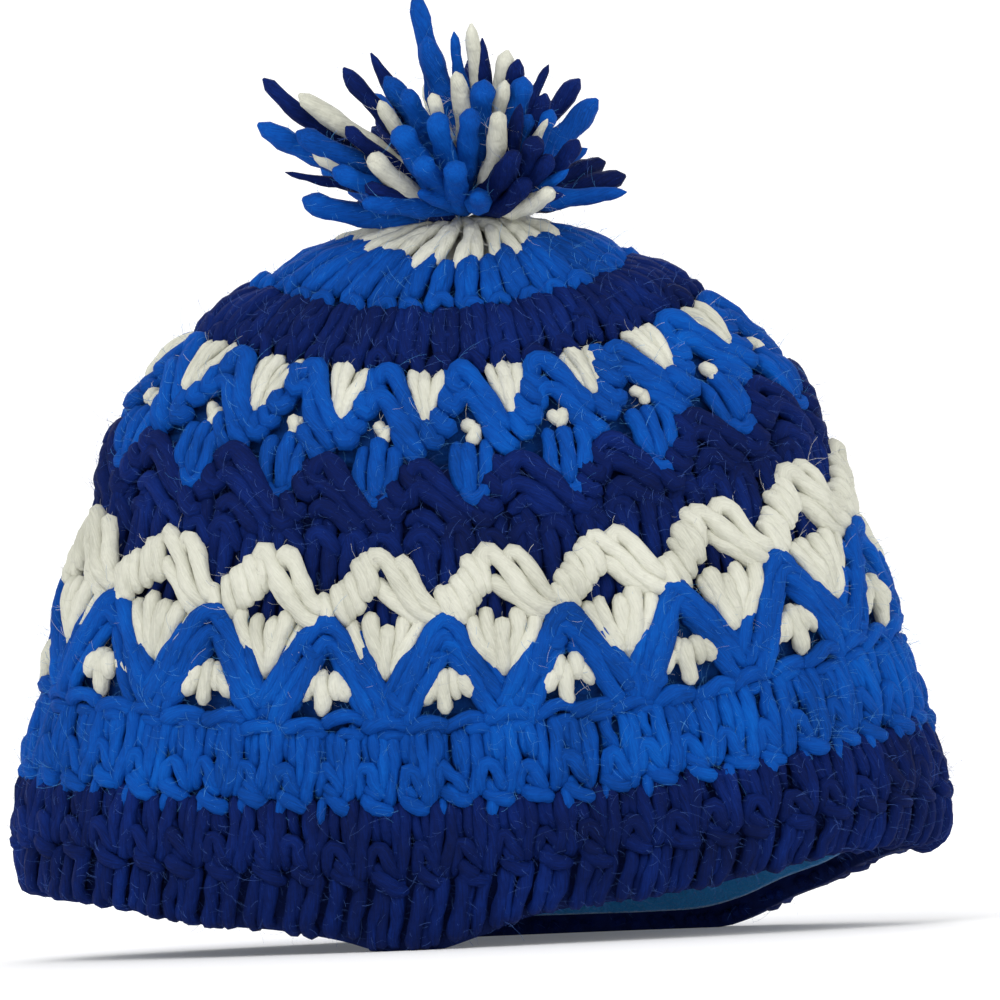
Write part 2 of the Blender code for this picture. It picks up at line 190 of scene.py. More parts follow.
@dataclass(frozen=True)
class HatForm:
    """The hat's outer skin, the same form as the CAD solids have."""

    height: float = HAT_HEIGHT
    half_width: float = 0.135
    half_depth: float = 0.0665
    side_rise: float = 0.012
    row_climb: float = HAT_HEIGHT * 0.043
    row_lean: float = HAT_HEIGHT * 0.022
    hem_lift: float = 0.0105
    hem_lift_height: float = 0.060
    hem_press: float = 0.0008
    hem_square_height: float = 0.020
    slope_step: float = 0.0015
    # Rows from rim to crown: height, half width, half depth and side rise, as shares
    sections: tuple = (
        (0.000, 0.985, 0.910, 0.92),
        (0.100, 0.996, 0.965, 0.92),
        (0.200, 0.974, 1.000, 0.92),
        (0.320, 0.926, 1.000, 0.92),
        (0.443, 0.872, 0.975, 1.00),
        (0.555, 0.806, 0.912, 1.08),
        (0.667, 0.744, 0.790, 1.04),
        (0.734, 0.680, 0.690, 1.00),
        (0.800, 0.588, 0.582, 0.92),
        (0.845, 0.515, 0.503, 0.83),
        (0.882, 0.448, 0.433, 0.71),
        (0.918, 0.355, 0.350, 0.58),
        (0.947, 0.280, 0.275, 0.42),
        (0.976, 0.190, 0.190, 0.21),
        (0.992, 0.105, 0.110, 0.08),
        (1.000, 0.000, 0.000, 0.00),
    )
    # How far the hem curls up: the angle round the rim from the front, and the share of hem_lift
    hem: tuple = (
        (0, 0.42),
        (5, 0.80),
        (10, 0.98),
        (20, 1.10),
        (29, 1.20),
        (40, 1.42),
        (51, 1.56),
        (62, 1.42),
        (80, 1.24),
        (97, 1.12),
        (113, 1.05),
        (120, 0.95),
        (128, 0.60),
        (136, 0.34),
        (144, -0.10),
        (150, -0.28),
        (157, -0.22),
        (165, -0.10),
        (175, 0.00),
        (187, 0.00),
        (194, 0.14),
        (204, 0.48),
        (218, 0.54),
        (236, 0.80),
        (255, 0.90),
        (270, 0.95),
        (285, 0.93),
        (304, 0.88),
        (322, 0.58),
        (334, 0.52),
        (342, 0.28),
        (347, 0.00),
        (353, 0.00),
        (360, 0.42),
    )
    _profile: dict = field(default_factory=dict, repr=False)

    def profile(self) -> dict[str, np.ndarray]:
        """The sections sampled finely, with the length along the profile from the rim.

        Returns:
            Rows of values by name, in metres, radians and shares of the girth.
        """
        if not self._profile:
            table = np.array(self.sections)
            index = np.arange(len(table))
            fine = np.linspace(0, len(table) - 1, 400)
            scale = (self.height, self.half_width, self.half_depth, self.side_rise)
            names = ("height", "width", "depth", "rise")
            for k, name in enumerate(names):
                self._profile[name] = smooth_curve(index, table[:, k], fine) * scale[k]
            radius = (self._profile["width"] + self._profile["depth"]) / 2
            steps = np.hypot(np.diff(self._profile["height"]), np.diff(radius))
            self._profile["along"] = np.concatenate([[0], np.cumsum(steps)])
            angles = np.linspace(0, 2 * math.pi, 721)
            x, y = self.half_width * np.sin(angles), self.half_depth * np.cos(angles)
            shares = np.concatenate([[0], np.cumsum(np.hypot(np.diff(x), np.diff(y)))])
            self._profile["angle"], self._profile["share"] = angles, shares / shares[-1]
        return self._profile

    def length(self) -> float:
        """Length of the profile from the rim to the top of the crown."""
        return float(self.profile()["along"][-1])

    def along(self, height: float | np.ndarray) -> np.ndarray:
        """Length along the profile at a height on the middle of the front."""
        return np.interp(height, self.profile()["height"], self.profile()["along"])

    def skin(self, angle: np.ndarray, along: np.ndarray) -> np.ndarray:
        """Points on the outer skin.

        Args:
            angle: Angles round the hat from the front.
            along: Lengths up the profile.

        Returns:
            Points, with their coordinates on the last axis.
        """
        p = self.profile()
        along = np.clip(along, 0, self.length())
        height, width, depth, rise = (
            np.interp(along, p["along"], p[k]) for k in ("height", "width", "depth", "rise")
        )
        hem = np.array(self.hem)
        lift = smooth_curve(hem[:, 0], hem[:, 1], np.degrees(angle) % 360) * self.hem_lift
        fade = np.clip(1 - height / self.hem_lift_height, 0, 1) ** 2
        z = height + rise * np.sin(angle) ** 2 + lift * fade
        return np.stack([width * np.sin(angle), -depth * np.cos(angle), z], axis=-1)

    def point(self, share: np.ndarray, along: np.ndarray, proud: np.ndarray | float) -> np.ndarray:
        """Points on, over or under the skin.

        Args:
            share: Shares of the way round the hat from the front.
            along: Lengths up the profile.
            proud: Distances out from the skin, negative inside it.

        Returns:
            Points, with their coordinates on the last axis.
        """
        share, along, proud = np.broadcast_arrays(share, along, proud)
        angle = np.interp(share % 1.0, self.profile()["share"], self.profile()["angle"])
        side = np.sin(angle)
        climb = self.row_climb * side**2 + self.row_lean * side
        along = along + climb * np.sin(math.pi * np.clip(along, 0, self.length()) / self.length())
        turn = self.slope_step / self.half_width
        low = np.clip(along - self.slope_step, 0, self.length() - 2 * self.slope_step)
        middle = low + self.slope_step
        across = self.skin(angle + turn, middle) - self.skin(angle - turn, middle)
        upward = self.skin(angle, low + 2 * self.slope_step) - self.skin(angle, low)
        normal = np.cross(across, upward)
        normal[..., 2] *= np.clip(along / self.hem_square_height, 0, 1)
        normal /= np.linalg.norm(normal, axis=-1, keepdims=True)
        place = self.skin(angle, along) + normal * proud[..., None]
        place[..., 2] = np.maximum(place[..., 2] - self.hem_press, 0)
        return place


@dataclass(frozen=True)
class WoolFinish:
    """Bulky wool, spun as one soft ply: fibres lie along the strand with a slow twist, so the eye gets long
    soft streaks, a matt surface with a pale sheen at its edges and small colour changes. The colour is
    painted darker along the sunken streaks and lighter along the raised ones, as painted shade and painted
    highlight, mixed with the wool's own random patches and strand tints."""

    name: str
    body: str
    # shade and light are the dark and pale ends of the colour ramp: partly painted shade and painted
    # highlight along the streaks, partly the wool's random tone
    shade: str
    light: str
    sheen: float = 0.07
    subsurface: float = 0.0
    # A wool fibre is 0.03 mm thick, too fine to show, so the streaks are drawn 0.4 mm wide
    streak_width_mm: float = 0.4
    streak_length_mm: float = 6.0
    patch_mm: float = 22.0
    twist_per_mm: float = 0.10
    bump_mm: float = 0.22
    # Felting gathers the fibres into soft lumps a few millimetres wide
    lump_mm: float = 3.2
    lump_depth_mm: float = 1.1

    def make(self) -> bpy.types.Material:
        """Builds the material on the strand's own coordinates.

        Returns:
            The material.
        """
        material, tree, shader = new_material(self.name)
        strand = add_node(tree, "ShaderNodeAttribute", attribute_name="strand")
        tint = add_node(tree, "ShaderNodeAttribute", attribute_name="tint")
        split = add_node(tree, "ShaderNodeSeparateXYZ", {0: strand.outputs["Vector"]})
        turn = add_node(
            tree, "ShaderNodeMath", {0: split.outputs["Z"], 1: self.twist_per_mm / MM}, operation="MULTIPLY"
        )
        twisted = add_node(
            tree,
            "ShaderNodeVectorRotate",
            {"Vector": strand.outputs["Vector"], "Angle": turn.outputs[0]},
            rotation_type="Z_AXIS",
        )
        across, long = 1 / (self.streak_width_mm * MM), 1 / (self.streak_length_mm * MM)
        stretched = add_node(
            tree, "ShaderNodeMapping", {"Vector": twisted.outputs[0], "Scale": (across, across, long)}
        )
        streak = add_node(
            tree,
            "ShaderNodeTexNoise",
            {"Vector": stretched.outputs[0], "Scale": 1.0, "Detail": 4.0, "Roughness": 0.6},
        )
        place = add_node(tree, "ShaderNodeTexCoord")
        patch = add_node(
            tree,
            "ShaderNodeTexNoise",
            {"Vector": place.outputs["Object"], "Scale": 1 / (self.patch_mm * MM), "Detail": 3.0},
        )
        # Painted shade and painted highlight: the streak noise, which also raises the bump below, moves the
        # colour towards shade in its low streaks and towards light in its high ones; the patch noise and the
        # strand tint add random tone
        mixed = add_node(
            tree, "ShaderNodeMath", {0: streak.outputs["Fac"], 1: patch.outputs["Fac"]}, operation="ADD"
        )
        weighed = add_node(
            tree,
            "ShaderNodeMath",
            {0: mixed.outputs[0], 1: 0.5, 2: tint.outputs["Fac"]},
            operation="MULTIPLY_ADD",
        )
        ramp = add_node(tree, "ShaderNodeValToRGB", {0: weighed.outputs[0]})
        ramp.color_ramp.elements[0].position = 0.33
        ramp.color_ramp.elements[0].color = linear(self.shade)
        ramp.color_ramp.elements[1].position = 0.50
        ramp.color_ramp.elements[1].color = linear(self.body)
        ramp.color_ramp.elements.new(0.68).color = linear(self.light)
        lumps = add_node(
            tree,
            "ShaderNodeTexNoise",
            {"Vector": place.outputs["Object"], "Scale": 1 / (self.lump_mm * MM), "Detail": 2.0},
        )
        felted = add_node(
            tree,
            "ShaderNodeBump",
            {"Height": lumps.outputs["Fac"], "Strength": 0.8, "Distance": self.lump_depth_mm * MM},
        )
        bump = add_node(
            tree,
            "ShaderNodeBump",
            {
                "Height": streak.outputs["Fac"],
                "Strength": 0.8,
                "Distance": self.bump_mm * MM,
                "Normal": felted.outputs["Normal"],
            },
        )
        tree.links.new(ramp.outputs["Color"], shader.inputs["Base Color"])
        tree.links.new(bump.outputs["Normal"], shader.inputs["Normal"])
        shader.inputs["Roughness"].default_value = 0.82
        shader.inputs["Specular IOR Level"].default_value = 0.12
        shader.inputs["Sheen Weight"].default_value = self.sheen
        shader.inputs["Sheen Roughness"].default_value = 0.4
        shader.inputs["Sheen Tint"].default_value = linear(self.light)
        shader.inputs["Subsurface Weight"].default_value = self.subsurface
        shader.inputs["Subsurface Radius"].default_value = (0.002, 0.002, 0.002)
        return material


@dataclass(frozen=True)
class CrochetGroundFinish:
    """The wrong side of crochet, seen inside the hat and deep between the strands: rows of small rounded
    loops in matt wool, which give the eye a soft grid of bumps, with painted shade that darkens the colour
    towards the sunken gaps between the loops."""

    name: str
    body: str
    # shade is painted shade: the colour towards the gaps between the loops
    shade: str
    loop_mm: float = 6.0
    bump_mm: float = 1.6

    def make(self) -> bpy.types.Material:
        """Builds the material on the piece's object coordinates.

        Returns:
            The material.
        """
        material, tree, shader = new_material(self.name)
        place = add_node(tree, "ShaderNodeTexCoord")
        loops = add_node(
            tree,
            "ShaderNodeTexVoronoi",
            {"Vector": place.outputs["Object"], "Scale": 1 / (self.loop_mm * MM), "Randomness": 0.6},
        )
        fibre = add_node(
            tree,
            "ShaderNodeTexNoise",
            {"Vector": place.outputs["Object"], "Scale": 1 / (1.2 * MM), "Detail": 4.0},
        )
        height = add_node(
            tree,
            "ShaderNodeMath",
            {0: fibre.outputs["Fac"], 1: 0.3, 2: loops.outputs["Distance"]},
            operation="MULTIPLY_ADD",
        )
        # Painted shade: the colour goes from body at each loop's middle to shade towards the gaps between
        # the loops, where the bump below sinks
        mix = add_node(
            tree,
            "ShaderNodeMix",
            {0: loops.outputs["Distance"], 6: linear(self.body), 7: linear(self.shade)},
            data_type="RGBA",
        )
        bump = add_node(
            tree,
            "ShaderNodeBump",
            {"Height": height.outputs[0], "Strength": 1.0, "Distance": -self.bump_mm * MM},
        )
        tree.links.new(mix.outputs[2], shader.inputs["Base Color"])
        tree.links.new(bump.outputs["Normal"], shader.inputs["Normal"])
        shader.inputs["Roughness"].default_value = 0.9
        shader.inputs["Specular IOR Level"].default_value = 0.15
        return material


@dataclass(frozen=True)
class FuzzFinish:
    """Loose ends of wool fibre that stand off the yarn: thin, pale and matt."""

    name: str
    body: str

    def make(self) -> bpy.types.Material:
        """Builds the material, one tone with a little change from place to place.

        Returns:
            The material.
        """
        material, tree, shader = new_material(self.name)
        place = add_node(tree, "ShaderNodeTexCoord")
        change = add_node(
            tree, "ShaderNodeTexNoise", {"Vector": place.outputs["Object"], "Scale": 1 / (9 * MM)}
        )
        bright = add_node(
            tree,
            "ShaderNodeHueSaturation",
            {"Color": linear(self.body), "Value": change.outputs["Fac"]},
        )
        lifted = add_node(tree, "ShaderNodeGamma", {"Color": bright.outputs[0], "Gamma": 0.8})
        tree.links.new(lifted.outputs[0], shader.inputs["Base Color"])
        shader.inputs["Roughness"].default_value = 0.9
        shader.inputs["Specular IOR Level"].default_value = 0.1
        return material


@dataclass(frozen=True)
class FleeceFinish:
    """Polyester fleece: a dense brushed pile, matt, with a fine clumpy nap and a clear sheen, and painted
    shade that darkens the colour in the low places between the clumps.
    """

    name: str = "brushed blue fleece"
    body: str = "2A8CCB"
    # shade is painted shade: the colour in the low places between the pile's clumps
    shade: str = "1570B4"
    # The pile's clumps are about 0.9 mm across
    clump_mm: float = 0.9

    def make(self) -> bpy.types.Material:
        """Builds the material on the piece's object coordinates.

        Returns:
            The material.
        """
        material, tree, shader = new_material(self.name)
        place = add_node(tree, "ShaderNodeTexCoord")
        nap = add_node(
            tree,
            "ShaderNodeTexNoise",
            {"Vector": place.outputs["Object"], "Scale": 1 / (self.clump_mm * MM), "Detail": 5.0},
        )
        # Painted shade: the nap noise that raises the bump below also darkens the colour from body to shade
        # where the pile is low
        mix = add_node(
            tree,
            "ShaderNodeMix",
            {0: nap.outputs["Fac"], 6: linear(self.shade), 7: linear(self.body)},
            data_type="RGBA",
        )
        bump = add_node(
            tree, "ShaderNodeBump", {"Height": nap.outputs["Fac"], "Strength": 0.9, "Distance": 0.8 * MM}
        )
        tree.links.new(mix.outputs[2], shader.inputs["Base Color"])
        tree.links.new(bump.outputs["Normal"], shader.inputs["Normal"])
        shader.inputs["Roughness"].default_value = 0.95
        shader.inputs["Sheen Weight"].default_value = 0.6
        shader.inputs["Specular IOR Level"].default_value = 0.1
        return material


@dataclass
class WoolBox:
    """All the wools' materials, made once."""

    yarn: dict[Yarn, bpy.types.Material] = field(default_factory=dict)
    ground: dict[Yarn, bpy.types.Material] = field(default_factory=dict)
    fuzz: dict[Yarn, bpy.types.Material] = field(default_factory=dict)

    def fill(self) -> "WoolBox":
        """Makes the materials of each wool.

        Returns:
            The box itself, filled.
        """
        # Each wool's second and third colours are the dark and pale ends of its streaks, partly painted
        # shade and painted highlight, partly random tone
        self.yarn = {
            Yarn.ROYAL: WoolFinish("royal blue wool roving", "00449A", "003478", "0056B2").make(),
            Yarn.NAVY: WoolFinish("navy blue wool roving", "001650", "000D38", "04246C").make(),
            Yarn.IVORY: WoolFinish(
                "ivory wool roving", "CBCBBD", "B6B6A8", "D8D8CB", sheen=0.05, subsurface=0.05
            ).make(),
        }
        # Each crochet back's second colour is painted shade towards the gaps between its loops
        self.ground = {
            Yarn.ROYAL: CrochetGroundFinish("royal blue crochet back", "07418F", "042860").make(),
            Yarn.NAVY: CrochetGroundFinish("navy blue crochet back", "081E5A", "04103A").make(),
            Yarn.IVORY: CrochetGroundFinish("ivory crochet back", "D8D6CA", "A9A79A").make(),
        }
        self.fuzz = {
            Yarn.ROYAL: FuzzFinish("royal blue wool fuzz", "4A9AEC").make(),
            Yarn.NAVY: FuzzFinish("navy blue wool fuzz", "3E62BC").make(),
            Yarn.IVORY: FuzzFinish("ivory wool fuzz", "F6F5EC").make(),
        }
        return self


@dataclass(frozen=True)
class Stroke:
    """One visible run of yarn in a stitch.

    path has the columns across, as a share of the stitch, height, as a share of the round or in mm,
    and proud, in mm out from the skin.
    """

    radius_mm: float
    path: Path

    def mirrored(self, lower_mm: float = 0.0) -> "Stroke":
        """The same run turned left to right, and set deeper by lower_mm."""
        return Stroke(self.radius_mm, tuple((-a, h, p - lower_mm) for a, h, p in self.path))

    def moved(self, across: float, height: float = 0.0) -> "Stroke":
        """The same run moved sideways and up."""
        return Stroke(self.radius_mm, tuple((a + across, h + height, p) for a, h, p in self.path))

    def climbed(
        self, count: int, across: tuple[float, float], height: tuple[float, float]
    ) -> list["Stroke"]:
        """The same run repeated in even steps up a leg.

        Args:
            count: How many runs the leg has.
            across: Where the first one is and how far off the last one is, sideways.
            height: The same upwards.

        Returns:
            The runs, from the lowest up.
        """
        steps = count - 1
        return [
            self.moved(across[0] + across[1] * k / steps, height[0] + height[1] * k / steps)
            for k in range(count)
        ]


def through(controls: np.ndarray, count: int) -> np.ndarray:
    """A smooth path through control points.

    Args:
        controls: The points, one to a row.
        count: How many points the path gets.

    Returns:
        The path's points, one to a row.
    """
    steps = np.linalg.norm(np.diff(controls, axis=0), axis=1) ** 0.5
    at = np.concatenate([[0], np.cumsum(np.maximum(steps, 1e-9))])
    where = np.linspace(0, at[-1], count)
    return np.stack([smooth_curve(at, controls[:, k], where) for k in range(controls.shape[1])], axis=1)


class YarnTree:
    """The node tree that spins guide lines into round, slightly uneven strands."""

    def __init__(self) -> None:
        """Builds the tree once, for every piece of yarn."""
        sockets = {"Sides": "Int", "Lump Depth": "Float", "Lump Length": "Float", "Wool": "Material"}
        self.tree = tree = new_tree("Spin yarn", sockets)
        given = tree.nodes.new("NodeGroupInput").outputs
        lines = add_node(tree, "GeometryNodeMeshToCurve", {"Mesh": given["Geometry"]})
        thickness = add_node(
            tree, "GeometryNodeInputNamedAttribute", {"Name": "thickness"}, data_type="FLOAT"
        )
        reach = add_node(tree, "GeometryNodeSplineParameter")
        stored = add_node(
            tree,
            "GeometryNodeStoreNamedAttribute",
            {"Geometry": lines.outputs[0], "Name": "reach", "Value": reach.outputs["Length"]},
            data_type="FLOAT",
            domain="POINT",
        )
        ring = add_node(
            tree, "GeometryNodeCurvePrimitiveCircle", {"Resolution": given["Sides"], "Radius": 1.0}
        )
        ring_place = add_node(tree, "GeometryNodeInputPosition")
        marked = add_node(
            tree,
            "GeometryNodeStoreNamedAttribute",
            {"Geometry": ring.outputs[0], "Name": "rim", "Value": ring_place.outputs[0]},
            data_type="FLOAT_VECTOR",
            domain="POINT",
        )
        swept = add_node(
            tree,
            "GeometryNodeCurveToMesh",
            {
                "Curve": stored.outputs[0],
                "Profile Curve": marked.outputs[0],
                "Scale": thickness.outputs["Attribute"],
                "Fill Caps": True,
            },
        )
        rim = add_node(
            tree, "GeometryNodeInputNamedAttribute", {"Name": "rim"}, data_type="FLOAT_VECTOR"
        )
        reached = add_node(
            tree, "GeometryNodeInputNamedAttribute", {"Name": "reach"}, data_type="FLOAT"
        )
        side = add_node(tree, "ShaderNodeSeparateXYZ", {0: rim.outputs["Attribute"]})
        wide = [
            add_node(
                tree,
                "ShaderNodeMath",
                {0: side.outputs[k], 1: thickness.outputs["Attribute"]},
                operation="MULTIPLY",
            )
            for k in (0, 1)
        ]
        own = add_node(
            tree,
            "ShaderNodeCombineXYZ",
            {0: wide[0].outputs[0], 1: wide[1].outputs[0], 2: reached.outputs["Attribute"]},
        )
        kept = add_node(
            tree,
            "GeometryNodeStoreNamedAttribute",
            {"Geometry": swept.outputs[0], "Name": "strand", "Value": own.outputs[0]},
            data_type="FLOAT_VECTOR",
            domain="POINT",
        )
        place = add_node(tree, "GeometryNodeInputPosition")
        per_length = add_node(
            tree, "ShaderNodeMath", {0: 1.0, 1: given["Lump Length"]}, operation="DIVIDE"
        )
        lumps = add_node(
            tree,
            "ShaderNodeTexNoise",
            {"Vector": place.outputs[0], "Scale": per_length.outputs[0], "Detail": 2.0},
        )
        centred = add_node(
            tree, "ShaderNodeMath", {0: lumps.outputs["Fac"], 1: 0.5}, operation="SUBTRACT"
        )
        depth = add_node(
            tree,
            "ShaderNodeMath",
            {0: centred.outputs[0], 1: given["Lump Depth"]},
            operation="MULTIPLY",
        )
        outward = add_node(tree, "GeometryNodeInputNormal")
        push = add_node(
            tree,
            "ShaderNodeVectorMath",
            {0: outward.outputs["Normal"], "Scale": depth.outputs[0]},
            operation="SCALE",
        )
        lumpy = add_node(
            tree, "GeometryNodeSetPosition", {"Geometry": kept.outputs[0], "Offset": push.outputs[0]}
        )
        smooth = add_node(tree, "GeometryNodeSetShadeSmooth", {"Geometry": lumpy.outputs[0]})
        real = add_node(tree, "GeometryNodeRealizeInstances", {"Geometry": smooth.outputs[0]})
        dressed = add_node(
            tree,
            "GeometryNodeSetMaterial",
            {"Geometry": real.outputs[0], "Material": given["Wool"]},
        )
        add_node(tree, "NodeGroupOutput", {0: dressed.outputs[0]})


class FuzzTree:
    """The node tree that scatters loose fibre ends over a piece of yarn."""

    def __init__(self) -> None:
        """Builds the tree once, for every piece of yarn."""
        sizes = {name: "Float" for name in ("Density", "Fibre Length", "Fibre Width", "Lean")}
        self.tree = tree = new_tree("Brush fuzz", {**sizes, "Seed": "Int", "Wool": "Material"})
        given = tree.nodes.new("NodeGroupInput").outputs
        points = add_node(
            tree,
            "GeometryNodeDistributePointsOnFaces",
            {"Mesh": given["Geometry"], "Density": given["Density"], "Seed": given["Seed"]},
        )
        bend = add_node(
            tree,
            "GeometryNodeCurveQuadraticBezier",
            {"Resolution": 2, "Start": (0, 0, 0), "Middle": (0.10, 0.0, 0.6), "End": (0.45, 0.12, 0.9)},
        )
        ribbon = add_node(
            tree, "GeometryNodeCurvePrimitiveLine", {"Start": (0, -0.5, 0), "End": (0, 0.5, 0)}
        )
        thin = add_node(
            tree, "ShaderNodeMath", {0: given["Fibre Width"], 1: given["Fibre Length"]}, operation="DIVIDE"
        )
        fibre = add_node(
            tree,
            "GeometryNodeCurveToMesh",
            {"Curve": bend.outputs[0], "Profile Curve": ribbon.outputs[0], "Scale": thin.outputs[0]},
        )
        stray = add_node(
            tree,
            "FunctionNodeRandomValue",
            {0: (-1, -1, -1), 1: (1, 1, 1), "Seed": given["Seed"]},
            data_type="FLOAT_VECTOR",
        )
        aside = add_node(
            tree, "ShaderNodeVectorMath", {0: stray.outputs[0], "Scale": given["Lean"]}, operation="SCALE"
        )
        lean = add_node(
            tree,
            "ShaderNodeVectorMath",
            {0: points.outputs["Normal"], 1: aside.outputs[0]},
            operation="ADD",
        )
        stand = add_node(
            tree, "FunctionNodeAlignRotationToVector", {"Vector": lean.outputs[0]}, axis="Z"
        )
        size = add_node(
            tree,
            "FunctionNodeRandomValue",
            {2: 0.35, 3: 1.0, "Seed": given["Seed"]},
            data_type="FLOAT",
        )
        scaled = add_node(
            tree,
            "ShaderNodeMath",
            {0: size.outputs[1], 1: given["Fibre Length"]},
            operation="MULTIPLY",
        )
        spread = add_node(
            tree,
            "GeometryNodeInstanceOnPoints",
            {
                "Points": points.outputs[0],
                "Instance": fibre.outputs[0],
                "Rotation": stand.outputs[0],
                "Scale": scaled.outputs[0],
            },
        )
        real = add_node(tree, "GeometryNodeRealizeInstances", {"Geometry": spread.outputs[0]})
        where = add_node(tree, "GeometryNodeInputPosition")
        parts = add_node(tree, "ShaderNodeSeparateXYZ", {0: where.outputs[0]})
        height = add_node(tree, "ShaderNodeMath", {0: parts.outputs[2], 1: 0.2 * MM}, operation="MAXIMUM")
        lifted = add_node(
            tree, "ShaderNodeCombineXYZ", {0: parts.outputs[0], 1: parts.outputs[1], 2: height.outputs[0]}
        )
        above = add_node(
            tree, "GeometryNodeSetPosition", {"Geometry": real.outputs[0], "Position": lifted.outputs[0]}
        )
        dressed = add_node(
            tree,
            "GeometryNodeSetMaterial",
            {"Geometry": above.outputs[0], "Material": given["Wool"]},
        )
        add_node(tree, "NodeGroupOutput", {0: dressed.outputs[0]})


def run_tree(
    source: bpy.types.Object, tree: bpy.types.NodeTree, values: dict[str, object], name: str
) -> bpy.types.Object:
    """Runs a geometry node tree on an object and keeps the result as a plain mesh.

    Args:
        source: The object that the tree reads.
        tree: The node tree.
        values: The tree's inputs, by name.
        name: The name of the new piece.

    Returns:
        A new object with no modifiers.
    """
    modifier = source.modifiers.new(tree.name, "NODES")
    modifier.node_group = tree
    for socket in tree.interface.items_tree:
        if socket.item_type == "SOCKET" and socket.in_out == "INPUT" and socket.name in values:
            modifier[socket.identifier] = values[socket.name]
    graph = bpy.context.evaluated_depsgraph_get()
    graph.update()
    mesh = bpy.data.meshes.new_from_object(
        source.evaluated_get(graph), preserve_all_data_layers=True, depsgraph=graph
    )
    source.modifiers.remove(modifier)
    mesh.name = name
    return new_object(name, mesh)


@dataclass(frozen=True)
class Fuzz:
    """One kind of loose fibre on the yarn.

    A wool fibre is 0.03 mm thick, too fine to show, so it is drawn about 0.1 mm wide.
    """

    name: str
    per_cm2: float
    length_mm: float
    width_mm: float
    lean: float


@dataclass
class Workshop:
    """What every piece is made with: the hat's form, the wools and the node trees."""

    form: HatForm
    wools: WoolBox
    yarn_tree: YarnTree
    fuzz_tree: FuzzTree
    sides: int = 8
    spacing_mm: float = 1.9
    loose_mm: float = 0.70
    lump_depth_mm: float = 1.3
    lump_length_mm: float = 4.5
    fuzz: tuple[Fuzz, ...] = (
        Fuzz("nap", 8.5, 3.4, 0.08, 2.0),
        Fuzz("stray", 2.0, 8.5, 0.06, 1.5),
    )


